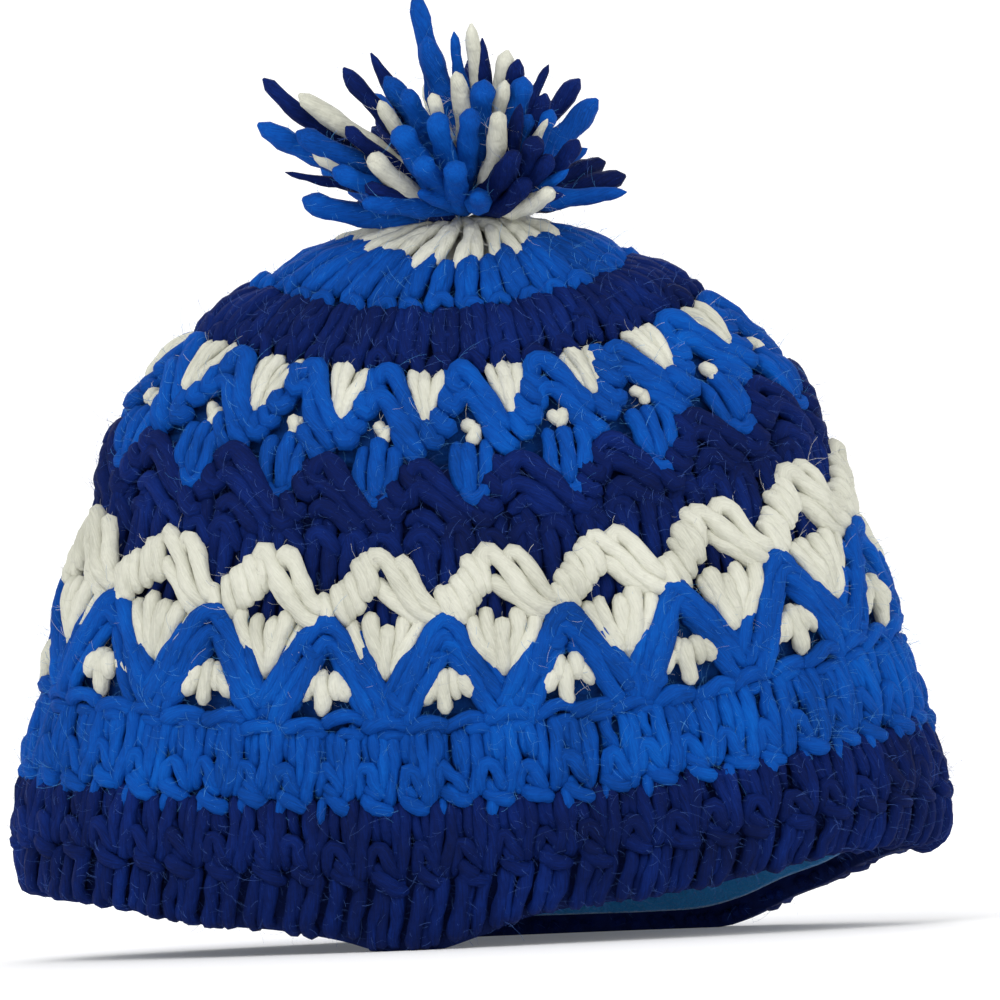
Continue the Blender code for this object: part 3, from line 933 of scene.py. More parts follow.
class YarnLayer:
    """Strands of one wool that make one piece."""

    def __init__(self, shop: Workshop, name: str, yarn: Yarn, seed: int) -> None:
        """Starts an empty layer.

        Args:
            shop: The workshop.
            name: The piece's name.
            yarn: Its wool.
            seed: Seed of its small irregularities.
        """
        self.shop, self.name, self.yarn = shop, name, yarn
        self.chance = random.Random(seed)
        self.seed = seed
        self.points: list[np.ndarray] = []
        self.radii: list[np.ndarray] = []
        self.tints: list[np.ndarray] = []

    def add(self, points: np.ndarray, radius: float | np.ndarray, tip: float = 0.45) -> None:
        """Adds one strand with rounded ends.

        Args:
            points: The strand's middle line.
            radius: Its radius in metres, one for all or one for each point.
            tip: The share of the radius that is left at its two ends.
        """
        steps = np.linalg.norm(np.diff(points, axis=0), axis=1)
        at = np.concatenate([[0], np.cumsum(steps)])
        near = np.minimum(at, at[-1] - at) / radius
        full = tip + (1 - tip) * np.sqrt(np.clip(1 - (1 - np.clip(near, 0, 1)) ** 2, 0, 1))
        wave = self.chance.uniform(1.4, 2.6) * MM
        swell = 1 + 0.09 * np.sin(at / wave + self.chance.uniform(0, 6.3))
        size = radius * full * swell * self.chance.uniform(0.90, 1.12)
        points = points.copy()
        points[:, 2] = np.maximum(points[:, 2], size)
        self.points.append(points)
        self.radii.append(size)
        self.tints.append(np.full(len(points), self.chance.uniform(-0.05, 0.05)))

    def stitch(self, stroke: Stroke, share: float, width: float, low: float, high: float) -> None:
        """Lays one run of yarn on the hat.

        Args:
            stroke: The run.
            share: Where its stitch starts, as a share of the way round.
            width: The stitch's width as a share of the way round.
            low: The height that the stroke's height of 0 means.
            high: The height that the stroke's height of 1 means.
        """
        form, loose = self.shop.form, self.shop.loose_mm
        table = np.array(stroke.path)
        stray = np.array(
            [[self.chance.gauss(0, loose * part) for part in (0.5, 0.5, 0.3)] for _ in table]
        )
        stray += [self.chance.gauss(0, loose * part) for part in (0.8, 0.9, 0.5)]
        heights = low + (high - low) * table[:, 1] + stray[:, 1] * MM
        along = form.along(heights) + np.minimum(heights, 0)
        turns = share + width * table[:, 0] + stray[:, 0] * MM / (4.6 * form.half_width)
        controls = np.stack([turns, along, (table[:, 2] + stray[:, 2]) * MM], axis=1)
        rough = form.point(controls[:, 0], controls[:, 1], controls[:, 2])
        length = np.linalg.norm(np.diff(rough, axis=0), axis=1).sum()
        count = max(6, round(length / (self.shop.spacing_mm * MM)) + 1)
        unit = np.array([form.half_width * 5, 1.0, 1.0])
        fine = through(controls * unit, count) / unit
        self.add(form.point(fine[:, 0], fine[:, 1], fine[:, 2]), stroke.radius_mm * MM)

    def work_round(
        self, strokes: Iterable[Stroke], count: int, phase: float, low: float, high: float
    ) -> None:
        """Repeats the strokes of one stitch all the way round.

        Args:
            strokes: The stitch's runs of yarn.
            count: Stitches in the round.
            phase: Shift of the first stitch, in stitches.
            low: The height that a stroke's height of 0 means.
            high: The height that a stroke's height of 1 means.
        """
        for i in range(count):
            for stroke in strokes:
                self.stitch(stroke, (i + phase) / count, 1 / count, low, high)

    def finish(self, fuzz_share: float = 1.0) -> list[bpy.types.Object]:
        """Spins the strands and brushes fuzz on them.

        Args:
            fuzz_share: The fuzz as a share of the usual.

        Returns:
            The piece of yarn and the piece of fuzz.
        """
        shop = self.shop
        mesh = bpy.data.meshes.new(self.name + "_guide")
        edges, start = [], 0
        for points in self.points:
            edges += [(start + k, start + k + 1) for k in range(len(points) - 1)]
            start += len(points)
        mesh.from_pydata(np.concatenate(self.points).tolist(), edges, [])
        for name, values in (("thickness", self.radii), ("tint", self.tints)):
            mesh.attributes.new(name, "FLOAT", "POINT").data.foreach_set("value", np.concatenate(values))
        guide = new_object(self.name + "_guide", mesh)
        values = {
            "Sides": shop.sides,
            "Lump Depth": shop.lump_depth_mm * MM,
            "Lump Length": shop.lump_length_mm * MM,
            "Wool": shop.wools.yarn[self.yarn],
        }
        piece = run_tree(guide, shop.yarn_tree.tree, values, self.name)
        bpy.data.objects.remove(guide)
        made = [piece]
        for kind in shop.fuzz if fuzz_share > 0 else ():
            values = {
                "Density": kind.per_cm2 * 1e4 * fuzz_share,
                "Fibre Length": kind.length_mm * MM,
                "Fibre Width": kind.width_mm * MM,
                "Lean": kind.lean,
                "Seed": self.seed,
                "Wool": shop.wools.fuzz[self.yarn],
            }
            made.append(run_tree(piece, shop.fuzz_tree.tree, values, f"{self.name}_{kind.name}"))
        for each in made:
            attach(each, "root")
        triangles = sum(len(p.vertices) - 2 for e in made for p in e.data.polygons)
        LOG.info("%s: %d strands, %d triangles", self.name, len(self.points), triangles)
        return made


def band_mesh(name: str, rings: Sequence[np.ndarray], material: bpy.types.Material) -> bpy.types.Object:
    """A closed band through rings of points.

    Args:
        name: The piece's name.
        rings: Rings of as many points each, in order round the band's section.
        material: Its finish.

    Returns:
        The new piece, which rides on the hat.
    """
    count, rows = len(rings[0]), len(rings)
    faces = []
    for r in range(rows):
        a, b = r * count, ((r + 1) % rows) * count
        faces += [(a + i, a + (i + 1) % count, b + (i + 1) % count, b + i) for i in range(count)]
    mesh = bpy.data.meshes.new(name)
    mesh.from_pydata(np.concatenate(rings).tolist(), [], faces)
    mesh.materials.append(material)
    mesh.shade_smooth()
    piece = new_object(name, mesh)
    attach(piece, "root")
    return piece


@dataclass
class Ground:
    """The firm inner side of a round, behind its visible strands."""

    shop: Workshop
    front_mm: float = 5.0
    back_mm: float = 10.0
    columns: int = GROUND_COLUMNS

    def make(
        self,
        name: str,
        yarn: Yarn,
        low: Callable[[np.ndarray], np.ndarray],
        high: Callable[[np.ndarray], np.ndarray],
    ) -> bpy.types.Object:
        """Makes the ground of one round.

        Args:
            name: The piece's name.
            yarn: Its wool.
            low: Its lower edge, as heights for shares of the way round.
            high: Its upper edge.

        Returns:
            The new piece.
        """
        form = self.shop.form
        shares = np.arange(self.columns) / self.columns
        bottom, top = form.along(low(shares)), form.along(high(shares))
        rings = []
        for proud, ups in ((-self.front_mm, (0, 1 / 3, 2 / 3, 1)), (-self.back_mm, (1, 2 / 3, 1 / 3, 0))):
            rings += [form.point(shares, bottom + (top - bottom) * up, proud * MM) for up in ups]
        return band_mesh(name, rings, self.shop.wools.ground[yarn])


def level(height: float) -> Callable[[np.ndarray], np.ndarray]:
    """An edge of a round that keeps one height."""
    return lambda share: np.full_like(share, height)


def crown_seam(form: HatForm) -> Callable[[np.ndarray], np.ndarray]:
    """The seam between the royal crown round and the cap, which rises at the sides.

    Args:
        form: The hat's form.

    Returns:
        The seam's height, as a function of the share of the way round.
    """
    shares, angles = form.profile()["share"], form.profile()["angle"]
    return lambda share: ROYAL_TOP + CAP_SIDE_RISE * np.sin(np.interp(share % 1.0, shares, angles)) ** 2


def zigzag(low: float, high: float, phase: float) -> Callable[[np.ndarray], np.ndarray]:
    """An edge of a round that swings between two heights once in each pattern repeat."""
    return lambda share: low + (high - low) * np.abs(2 * ((share * PATTERN_REPEATS - phase) % 1.0) - 1)


@dataclass
class BrimRounds:
    """The navy brim with its fine edge and ribs, and the royal ribs over it."""

    shop: Workshop
    edge_top: float = EDGE_TOP
    brim_top: float = BRIM_TOP
    rib_top: float = RIB_TOP
    rib_stitch: tuple[Stroke, ...] = (
        Stroke(2.2, (
            (0.88, 1.08, -3.5), (0.92, 0.80, -1.8), (0.90, 0.50, -1.4), (0.82, 0.22, -1.7),
            (0.70, 0.0, -3.4),
        )),
        Stroke(2.1, (
            (0.62, 1.05, -3.5), (0.66, 0.80, -1.7), (0.68, 0.50, -1.5), (0.62, 0.26, -2.2),
            (0.54, 0.10, -4.0),
        )),
        Stroke(1.9, ((0.38, 1.02, -3.5), (0.42, 0.82, -2.0), (0.46, 0.62, -2.2), (0.52, 0.44, -3.8))),
        Stroke(1.8, ((0.16, 1.04, -3.7), (0.17, 0.84, -2.6), (0.20, 0.66, -2.8), (0.28, 0.50, -4.0))),
        Stroke(2.1, (
            (0.02, 0.08, -3.4), (0.06, 0.32, -1.9), (0.18, 0.50, -1.2), (0.34, 0.46, -1.0),
            (0.48, 0.28, -1.2), (0.64, 0.10, -2.4),
        )),
        Stroke(1.9, ((0.20, 0.30, -3.0), (0.30, 0.20, -1.8), (0.44, 0.12, -1.7), (0.56, 0.06, -3.0))),
        Stroke(2.3, ((0.10, 0.18, -2.8), (0.32, 0.06, -1.3), (0.56, 0.00, -1.1), (0.84, -0.06, -2.8))),
    )
    edge_stitch: tuple[Stroke, ...] = (
        Stroke(2.2, (
            (0.46, 1.10, -3.6), (0.38, 0.74, -1.9), (0.26, 0.42, -1.8), (0.16, 0.18, -2.1),
            (0.14, 0.12, -4.5), (0.15, 0.12, -8.4), (0.17, 0.20, -10.8),
        )),
        Stroke(2.2, (
            (0.98, 1.10, -3.6), (0.88, 0.74, -2.0), (0.76, 0.42, -1.8), (0.66, 0.18, -2.2),
            (0.64, 0.12, -4.5), (0.65, 0.12, -8.4), (0.67, 0.20, -10.8),
        )),
        Stroke(2.0, (
            (0.66, 0.98, -3.8), (0.60, 0.76, -2.8), (0.50, 0.44, -2.7), (0.42, 0.18, -3.2),
            (0.41, 0.14, -7.0), (0.41, 0.18, -10.6),
        )),
    )

    def make(self) -> None:
        """Makes both rounds and hides the solids that they stand for."""
        ground = Ground(self.shop)
        low = ground.make("navy_brim_ground", Yarn.NAVY, level(0.0), level(self.brim_top))
        high = ground.make("royal_rib_ground", Yarn.ROYAL, level(self.brim_top), level(self.rib_top))
        navy = YarnLayer(self.shop, "navy_brim_ribs", Yarn.NAVY, 11)
        navy.work_round(self.rib_stitch, RIM_STITCHES, 0.3, self.edge_top, self.brim_top)
        edge = YarnLayer(self.shop, "navy_brim_edge", Yarn.NAVY, 12)
        edge.work_round(self.edge_stitch, RIM_STITCHES, 0.1, 0.0, self.edge_top)
        royal = YarnLayer(self.shop, "royal_ribs", Yarn.ROYAL, 13)
        royal.work_round(self.rib_stitch, RIM_STITCHES, 0.0, self.brim_top, self.rib_top)
        tip = Stroke(1.7, ((0.20, 0.12, -3.0), (0.18, 0.0, -1.8), (0.16, -0.14, -1.8), (0.12, -0.26, -3.2)))
        royal.work_round((tip,), RIM_STITCHES, 0.0, self.brim_top, self.rib_top)
        stand_for((low, *navy.finish(), *edge.finish()), "navy_brim")
        stand_for((high, *royal.finish()), "royal_rib_round")


@dataclass
class ArchRound:
    """The royal arches with an ivory spot under each, over a chain of royal yarn."""

    shop: Workshop
    low: float = RIB_TOP
    points: tuple[float, float] = ARCH_POINTS
    falling: tuple[Stroke, ...] = (
        Stroke(2.5, (
            (-0.12, 89, -2.6), (-0.04, 93.0, -0.9), (0.08, 91.5, -0.6), (0.22, 84.0, -0.7),
            (0.36, 75, -1.1), (0.50, 67.5, -2.8),
        )),
        Stroke(2.5, (
            (-0.10, 85, -2.8), (0.02, 88.5, -1.2), (0.14, 84.5, -0.9), (0.27, 76.5, -1.1),
            (0.38, 68.5, -1.6), (0.46, 64, -3.2),
        )),
        Stroke(2.2, (
            (0.02, 85, -3.4), (0.10, 82.0, -2.0), (0.20, 75.5, -1.7), (0.30, 68.5, -2.0),
            (0.36, 64, -3.4),
        )),
        Stroke(2.3, ((0.25, 90, -3.4), (0.35, 82, -1.5), (0.46, 74.5, -1.4), (0.58, 69, -3.0))),
    )
    rising: Stroke = Stroke(2.2, (
        (-0.07, 6.4, -3.0), (-0.02, 1.6, -0.9), (0.06, -1.2, -0.7), (0.14, 1.2, -2.4),
    ))
    rises: int = 3
    joint: tuple[Stroke, ...] = (
        Stroke(2.7, ((0.44, 77.5, -3.6), (0.48, 71, -2.2), (0.50, 65, -3.2))),
        Stroke(2.6, ((0.57, 76, -3.8), (0.55, 70, -2.4), (0.52, 65, -3.4))),
    )
    chain: tuple[Stroke, ...] = (
        Stroke(2.3, ((-0.03, 63.2, -3.2), (0.09, 65.2, -1.6), (0.22, 66.0, -1.4), (0.36, 64.2, -3.0))),
        Stroke(2.1, ((0.10, 62.4, -3.0), (0.22, 62.8, -1.9), (0.34, 62.4, -3.0))),
    )
    spot: tuple[Stroke, ...] = (
        Stroke(2.5, ((-0.20, 70.5, -3.0), (-0.16, 73.5, -1.5), (-0.08, 77.0, -2.0))),
        Stroke(2.5, ((0.20, 71.0, -3.0), (0.16, 74.0, -1.5), (0.07, 77.5, -2.0))),
        Stroke(2.5, ((-0.07, 79.5, -3.0), (-0.08, 76.0, -1.4), (-0.09, 72.0, -2.4))),
        Stroke(2.5, ((0.07, 79.5, -3.0), (0.08, 76.0, -1.4), (0.09, 72.0, -2.4))),
        Stroke(2.4, ((0.0, 79.5, -2.4), (0.0, 75.0, -1.1), (0.0, 71.0, -1.2), (0.0, 66.5, -2.2))),
    )

    def make(self) -> None:
        """Makes the round and hides its solid."""
        phase = PATTERN_PHASE + 0.5
        points = zigzag(*self.points, phase)
        ground = Ground(self.shop).make("royal_arch_ground", Yarn.ROYAL, level(self.low), points)
        royal = YarnLayer(self.shop, "royal_arches", Yarn.ROYAL, 21)
        rise = self.rising.climbed(self.rises, (-0.37, 0.20), (70.0, 15.0))
        legs = (*(s.mirrored(-0.5) for s in self.falling), *self.joint, *rise, *self.falling)
        royal.work_round(legs, PATTERN_REPEATS, phase, 0.0, MM)
        thirds = [s.moved(k / 3) for k in range(3) for s in self.chain]
        royal.work_round(thirds, PATTERN_REPEATS, phase, 0.0, MM)
        spots = YarnLayer(self.shop, "ivory_arch_spots", Yarn.IVORY, 22)
        spots.work_round(self.spot, PATTERN_REPEATS, phase, 0.0, MM)
        stand_for((ground, *royal.finish()), "royal_arch_round")
        stand_for(spots.finish(0.7), "royal_arch_round")


@dataclass
class ZigzagRound:
    """The ivory zigzag rope, the ivory fans under its peaks and the navy windows between them."""

    shop: Workshop
    low: tuple[float, float] = ARCH_POINTS
    high: tuple[float, float] = ZIGZAG_POINTS
    falling: tuple[Stroke, ...] = (
        Stroke(2.6, (
            (0.03, 107, -2.8), (0.09, 111.5, -0.8), (0.19, 108.5, -0.4), (0.30, 101.5, -0.5),
            (0.42, 97.5, -1.2), (0.54, 97.2, -3.2),
        )),
        Stroke(2.6, (
            (-0.16, 107, -2.6), (-0.13, 111.8, -0.8), (-0.03, 109.5, -0.4), (0.09, 104.5, -0.1),
            (0.22, 98.5, -0.3), (0.36, 94.4, -0.8), (0.52, 93.0, -2.8),
        )),
        Stroke(2.4, (
            (-0.12, 105.5, -2.4), (0.01, 102.0, -1.4), (0.14, 97.6, -1.1), (0.28, 93.8, -1.6),
            (0.42, 91.8, -3.2),
        )),
    )
    twist: Stroke = Stroke(2.4, (
        (-0.055, 5.2, -3.0), (-0.025, 3.0, -1.0), (0.02, -1.0, -0.6), (0.05, -4.4, -1.4),
        (0.06, -5.6, -3.0),
    ))
    twists: int = 6
    fan_half_width: float = 0.28
    window: tuple[Stroke, ...] = (
        Stroke(2.2, ((-0.22, 92, -5.4), (-0.20, 98, -4.8), (-0.16, 104, -5.4))),
        Stroke(2.2, ((-0.06, 92, -5.2), (-0.05, 98, -4.4), (-0.04, 104, -5.2))),
        Stroke(2.2, ((0.09, 91, -5.4), (0.09, 96, -4.8), (0.08, 102, -5.4))),
    )

    def rope(self) -> list[Stroke]:
        """The strokes of one repeat of the zigzag, its falling leg and its twisted rising leg.

        Returns:
            The strokes.
        """
        strokes = list(self.falling)
        for k in range(self.twists):
            t = k / (self.twists - 1)
            strokes.append(self.twist.moved(-0.50 + 0.34 * t, 97.2 + 10.2 * t**1.2))
        return strokes

    def fan(self) -> list[Stroke]:
        """The strokes of one fan, which run together to a point below.

        Returns:
            The strokes.
        """
        strokes = []
        for k in (-2, 2, -1, 1, 0):
            at = self.fan_half_width * k / 2
            top = 94.6 - (1.8 if k == 0 else 0.0) - (0.6 if abs(k) == 2 else 0.0)
            path = (
                (at * 0.94, top, -4.0),
                (at, top - 1.4, -2.2),
                (at * 0.78, 87.5, -1.4),
                (at * 0.36, 81.5, -1.6),
                (at * 0.10, 77.5, -3.6),
            )
            strokes.append(Stroke(2.6 - 0.12 * abs(k), path))
        return strokes

    def make(self) -> None:
        """Makes the round and hides its solid."""
        low = zigzag(*self.low, PATTERN_PHASE + 0.5)
        high = zigzag(*self.high, PATTERN_PHASE)
        ground = Ground(self.shop, front_mm=6.4).make("zigzag_ground", Yarn.NAVY, low, high)
        ivory = YarnLayer(self.shop, "ivory_zigzag", Yarn.IVORY, 31)
        ivory.work_round([*self.rope(), *self.fan()], PATTERN_REPEATS, PATTERN_PHASE, 0.0, MM)
        navy = YarnLayer(self.shop, "navy_windows", Yarn.NAVY, 32)
        navy.work_round(self.window, PATTERN_REPEATS, PATTERN_PHASE, 0.0, MM)
        stand_for(ivory.finish(0.7), "ivory_zigzag_round")
        stand_for((ground, *navy.finish(0)), "ivory_zigzag_round")


@dataclass
class MiddleRound:
    """The navy posts and arches over the zigzag, with royal loops between the arches."""

    shop: Workshop
    low: tuple[float, float] = ZIGZAG_POINTS
    top: float = MIDDLE_TOP
    post: tuple[Stroke, ...] = (
        Stroke(2.5, ((0.22, 100, -6.0), (0.24, 108, -3.6), (0.26, 117, -2.8), (0.30, 124, -3.8))),
        Stroke(2.5, ((0.68, 100, -6.0), (0.70, 108, -3.6), (0.68, 117, -2.8), (0.62, 124, -3.8))),
        Stroke(2.4, (
            (0.02, 114, -3.6), (0.22, 118, -2.2), (0.50, 118.5, -1.8), (0.78, 115, -2.8),
            (0.92, 112, -3.8),
        )),
    )
    falling: tuple[Stroke, ...] = (
        Stroke(2.9, (
            (-0.20, 133, -2.8), (-0.12, 137, -1.3), (0.0, 137.5, -0.9), (0.16, 133, -0.8),
            (0.34, 126.5, -1.1), (0.52, 122, -2.8),
        )),
        Stroke(2.8, (
            (-0.20, 126.5, -2.8), (-0.08, 131, -1.3), (0.08, 129.5, -1.0), (0.26, 123.5, -1.2),
            (0.44, 118.5, -2.8),
        )),
        Stroke(2.6, ((-0.16, 121.5, -3.0), (-0.02, 124.5, -1.6), (0.14, 121.5, -1.4), (0.32, 117, -3.0))),
    )
    rising: Stroke = Stroke(2.7, (
        (-0.08, 4.6, -3.2), (-0.03, 0.4, -1.3), (0.05, -2.2, -1.0), (0.14, 0.6, -2.4),
    ))
    rises: int = 4
    loop: tuple[Stroke, ...] = (
        Stroke(2.4, ((-0.17, 145, -3.4), (-0.17, 140, -1.6), (-0.16, 134, -1.3), (-0.11, 129.5, -2.6))),
        Stroke(2.5, ((0.0, 146, -3.4), (-0.01, 140, -1.4), (-0.01, 134, -1.0), (-0.03, 128.5, -2.6))),
        Stroke(2.4, ((0.17, 145, -3.4), (0.17, 139.5, -1.7), (0.14, 134, -1.5), (0.08, 130, -2.8))),
        Stroke(2.2, ((-0.14, 131, -2.8), (-0.05, 126.8, -1.2), (0.06, 127.2, -1.2), (0.14, 131, -2.8))),
    )

    def make(self) -> None:
        """Makes the round and hides its solid."""
        low = zigzag(*self.low, PATTERN_PHASE)
        ground = Ground(self.shop).make("navy_middle_ground", Yarn.NAVY, low, level(self.top))
        navy = YarnLayer(self.shop, "navy_middle_yarn", Yarn.NAVY, 41)
        navy.work_round(self.post, RIM_STITCHES, 0.2, 0.0, MM)
        rise = self.rising.climbed(self.rises, (-0.46, 0.28), (122.0, 12.5))
        navy.work_round((*rise, *self.falling), LACE_REPEATS, LACE_PHASE + 0.5, 0.0, MM)
        royal = YarnLayer(self.shop, "royal_middle_loops", Yarn.ROYAL, 42)
        royal.work_round(self.loop, LACE_REPEATS, LACE_PHASE, 0.0, MM)
        stand_for((ground, *navy.finish()), "navy_middle_round")
        stand_for(royal.finish(), "navy_middle_round")


@dataclass
class LaceRound:
    """The upper royal arches, with ivory Vs between them and small ivory spots under them."""

    shop: Workshop
    low: float = MIDDLE_TOP
    high: float = LACE_TOP
    falling: tuple[Stroke, ...] = (
        Stroke(2.9, (
            (-0.17, 159, -2.6), (-0.10, 163.5, -1.1), (0.02, 163.5, -0.7), (0.16, 159, -0.7),
            (0.32, 152, -1.1), (0.50, 146, -2.8),
        )),
        Stroke(2.8, (
            (-0.20, 152.5, -2.8), (-0.10, 157.5, -1.3), (0.04, 156.5, -1.1), (0.20, 150.5, -1.1),
            (0.38, 144.5, -1.7), (0.52, 141, -3.2),
        )),
        Stroke(2.4, ((0.12, 149, -3.0), (0.20, 145.5, -1.6), (0.32, 141, -1.8), (0.46, 138, -3.4))),
    )
    rising: Stroke = Stroke(2.7, (
        (-0.07, 6.0, -3.2), (-0.02, 1.0, -1.3), (0.05, -2.0, -0.9), (0.15, 1.0, -2.4),
    ))
    rises: int = 4
    vee: tuple[Stroke, ...] = (
        Stroke(1.8, ((-0.22, 166.5, -3.6), (-0.17, 162, -1.4), (-0.09, 156, -1.0), (-0.02, 151, -2.2))),
        Stroke(2.1, ((-0.07, 167, -3.6), (-0.05, 162, -1.0), (-0.02, 156, -0.4), (0.0, 150.5, -2.0))),
        Stroke(2.0, ((0.20, 166.5, -3.6), (0.16, 162, -1.2), (0.09, 156.5, -0.7), (0.02, 151, -2.0))),
        Stroke(1.5, ((0.09, 165.5, -3.8), (0.07, 161, -2.4), (0.04, 156, -1.6), (0.01, 152, -2.6))),
    )
    spot: tuple[Stroke, ...] = (
        Stroke(2.1, ((-0.06, 149.5, -2.8), (-0.01, 148.0, -1.5), (0.05, 146.5, -2.2))),
        Stroke(1.8, ((0.06, 150.0, -2.8), (0.04, 147.0, -1.7), (0.0, 144.5, -2.6))),
    )

    def make(self) -> None:
        """Makes the round and hides its solid."""
        ground = Ground(self.shop).make("royal_lace_ground", Yarn.ROYAL, level(self.low), level(self.high))
        royal = YarnLayer(self.shop, "royal_lace_arches", Yarn.ROYAL, 51)
        rise = self.rising.climbed(self.rises, (-0.45, 0.27), (146.0, 13.5))
        royal.work_round((*rise, *self.falling), LACE_REPEATS, LACE_PHASE, 0.0, MM)
        ivory = YarnLayer(self.shop, "ivory_lace", Yarn.IVORY, 52)
        ivory.work_round(self.vee, LACE_REPEATS, LACE_PHASE + 0.5, 0.0, MM)
        ivory.work_round(self.spot, LACE_REPEATS, LACE_PHASE, 0.0, MM)
        stand_for((ground, *royal.finish()), "royal_lace_round")
        stand_for(ivory.finish(0.7), "royal_lace_round")


@dataclass
class CrownRounds:
    """The navy and the royal ribbed rounds that close in on the crown."""

    shop: Workshop
    low: float = LACE_TOP
    seam: float = NAVY_TOP
    navy_stitches: int = 42
    royal_stitches: int = 34
    navy_stitch: tuple[Stroke, ...] = (
        Stroke(2.4, ((0.30, 1.06, -3.4), (0.26, 0.76, -1.6), (0.24, 0.42, -1.5), (0.34, 0.08, -3.0))),
        Stroke(2.4, ((0.72, 1.06, -3.4), (0.78, 0.76, -1.7), (0.74, 0.42, -1.6), (0.60, 0.10, -3.0))),
        Stroke(2.1, (
            (0.04, -0.02, -3.0), (0.16, 0.20, -1.4), (0.38, 0.27, -0.9), (0.58, 0.14, -1.2),
            (0.72, -0.06, -2.6),
        )),
        Stroke(2.0, ((0.30, 0.62, -3.0), (0.44, 0.50, -1.3), (0.60, 0.54, -1.3), (0.74, 0.70, -3.0))),
    )
    royal_stitch: tuple[Stroke, ...] = (
        Stroke(2.2, (
            (0.04, 0.06, -3.2), (0.10, 0.42, -1.5), (0.26, 0.82, -1.0), (0.44, 1.00, -1.5),
            (0.54, 0.80, -2.6),
        )),
        Stroke(2.4, (
            (0.40, 0.12, -3.0), (0.46, 0.46, -1.2), (0.62, 0.80, -1.0), (0.80, 1.00, -1.8),
            (0.90, 0.80, -3.0),
        )),
        Stroke(2.0, ((0.10, -0.06, -3.0), (0.30, 0.12, -1.3), (0.56, 0.12, -1.1), (0.80, -0.06, -2.8))),
    )

    def make(self) -> None:
        """Makes both rounds and hides their solids."""
        ground, top = Ground(self.shop), crown_seam(self.shop.form)
        low = ground.make("navy_crown_ground", Yarn.NAVY, level(self.low), level(self.seam))
        upper = ground.make("royal_crown_ground", Yarn.ROYAL, level(self.seam), top)
        navy = YarnLayer(self.shop, "navy_crown_yarn", Yarn.NAVY, 61)
        navy.work_round(self.navy_stitch, self.navy_stitches, 0.0, self.low, self.seam)
        royal = YarnLayer(self.shop, "royal_crown_yarn", Yarn.ROYAL, 62)
        for i in range(self.royal_stitches):
            share = i / self.royal_stitches
            high = float(top(np.array(share)))
            for stroke in self.royal_stitch:
                royal.stitch(stroke, share, 1 / self.royal_stitches, self.seam, high)
        stand_for((low, *navy.finish()), "navy_crown_round")
        stand_for((upper, *royal.finish()), "royal_crown_round")


@dataclass
class CrownCap:
    """The ivory rounds that close the crown, drawn in towards the pompom's tie."""

    shop: Workshop
    strands: int = 32
    swirl: float = 0.05
    # Every third strand starts lower, and every second one ends further from the tie
    spikes_mm: tuple[float, float] = (5.0, 1.0)
    ends_mm: tuple[float, float] = (3.0, 14.0)
    radii_mm: tuple[float, float] = (2.1, 2.3)

    def make(self) -> None:
        """Makes the cap and hides its solid."""
        form = self.shop.form
        end, seam = form.length(), crown_seam(form)
        layer = YarnLayer(self.shop, "ivory_crown_yarn", Yarn.IVORY, 71)
        for i in range(self.strands):
            start = float(form.along(seam(np.array(i / self.strands))))
            begin = start - self.spikes_mm[0 if i % 3 == 0 else 1] * MM
            reach = end - self.ends_mm[0 if i % 2 else 1] * MM
            t = np.linspace(0, 1, 14)
            shares = i / self.strands + self.swirl * t**1.5
            proud = -3.0 + 2.6 * np.minimum(1, (t + 0.1) * 3) ** 0.6
            points = form.point(shares, begin + (reach - begin) * t, proud * MM)
            layer.add(points, self.radii_mm[0 if i % 2 else 1] * MM)
        shares = np.arange(GROUND_COLUMNS) / GROUND_COLUMNS
        start = form.along(seam(shares))
        rings = []
        for proud, steps in ((-4.6, (0, 0.35, 0.7, 0.97)), (-10.0, (0.97, 0.7, 0.35, 0))):
            rings += [form.point(shares, start + (end - start) * s, proud * MM) for s in steps]
        ground = band_mesh("ivory_crown_ground", rings, self.shop.wools.ground[Yarn.IVORY])
        stand_for((ground, *layer.finish(0.7)), "ivory_crown_cap")


@dataclass
class Sweatband:
    """The fleece band inside the rim."""

    shop: Workshop
    low: float = 0.0055
    high: float = 0.0600
    outside_mm: float = 10.6
    inside_mm: float = 13.1
    columns: int = 324
    ripple_mm: float = 0.35

    def make(self) -> None:
        """Makes the band, with rolled edges and a soft ripple, and hides its solid."""
        form = self.shop.form
        shares = np.arange(self.columns) / self.columns
        start, end = float(form.along(self.low)), float(form.along(self.high))
        ripple = self.ripple_mm * np.sin(shares * 2 * math.pi * 27) * np.sin(shares * 2 * math.pi * 5)
        rings = []
        for up in (0.01, 0.3, 0.7, 0.99):
            rings.append(form.point(shares, start + (end - start) * up, -self.outside_mm * MM))
        middle = (self.outside_mm + self.inside_mm) / 2
        rings.append(form.point(shares, np.full(self.columns, end), -middle * MM))
        for up in (0.99, 0.7, 0.3, 0.01):
            rings.append(form.point(shares, start + (end - start) * up, -(self.inside_mm + ripple) * MM))
        rings.append(form.point(shares, np.full(self.columns, start), -middle * MM))
        piece = band_mesh("fleece_band", rings, FleeceFinish().make())
        stand_for([piece], "fleece_sweatband")
        faces = form.point(shares, (start + end) / 2, -middle * MM)
        LOG.info("fleece_band: %d faces", len(piece.data.polygons))


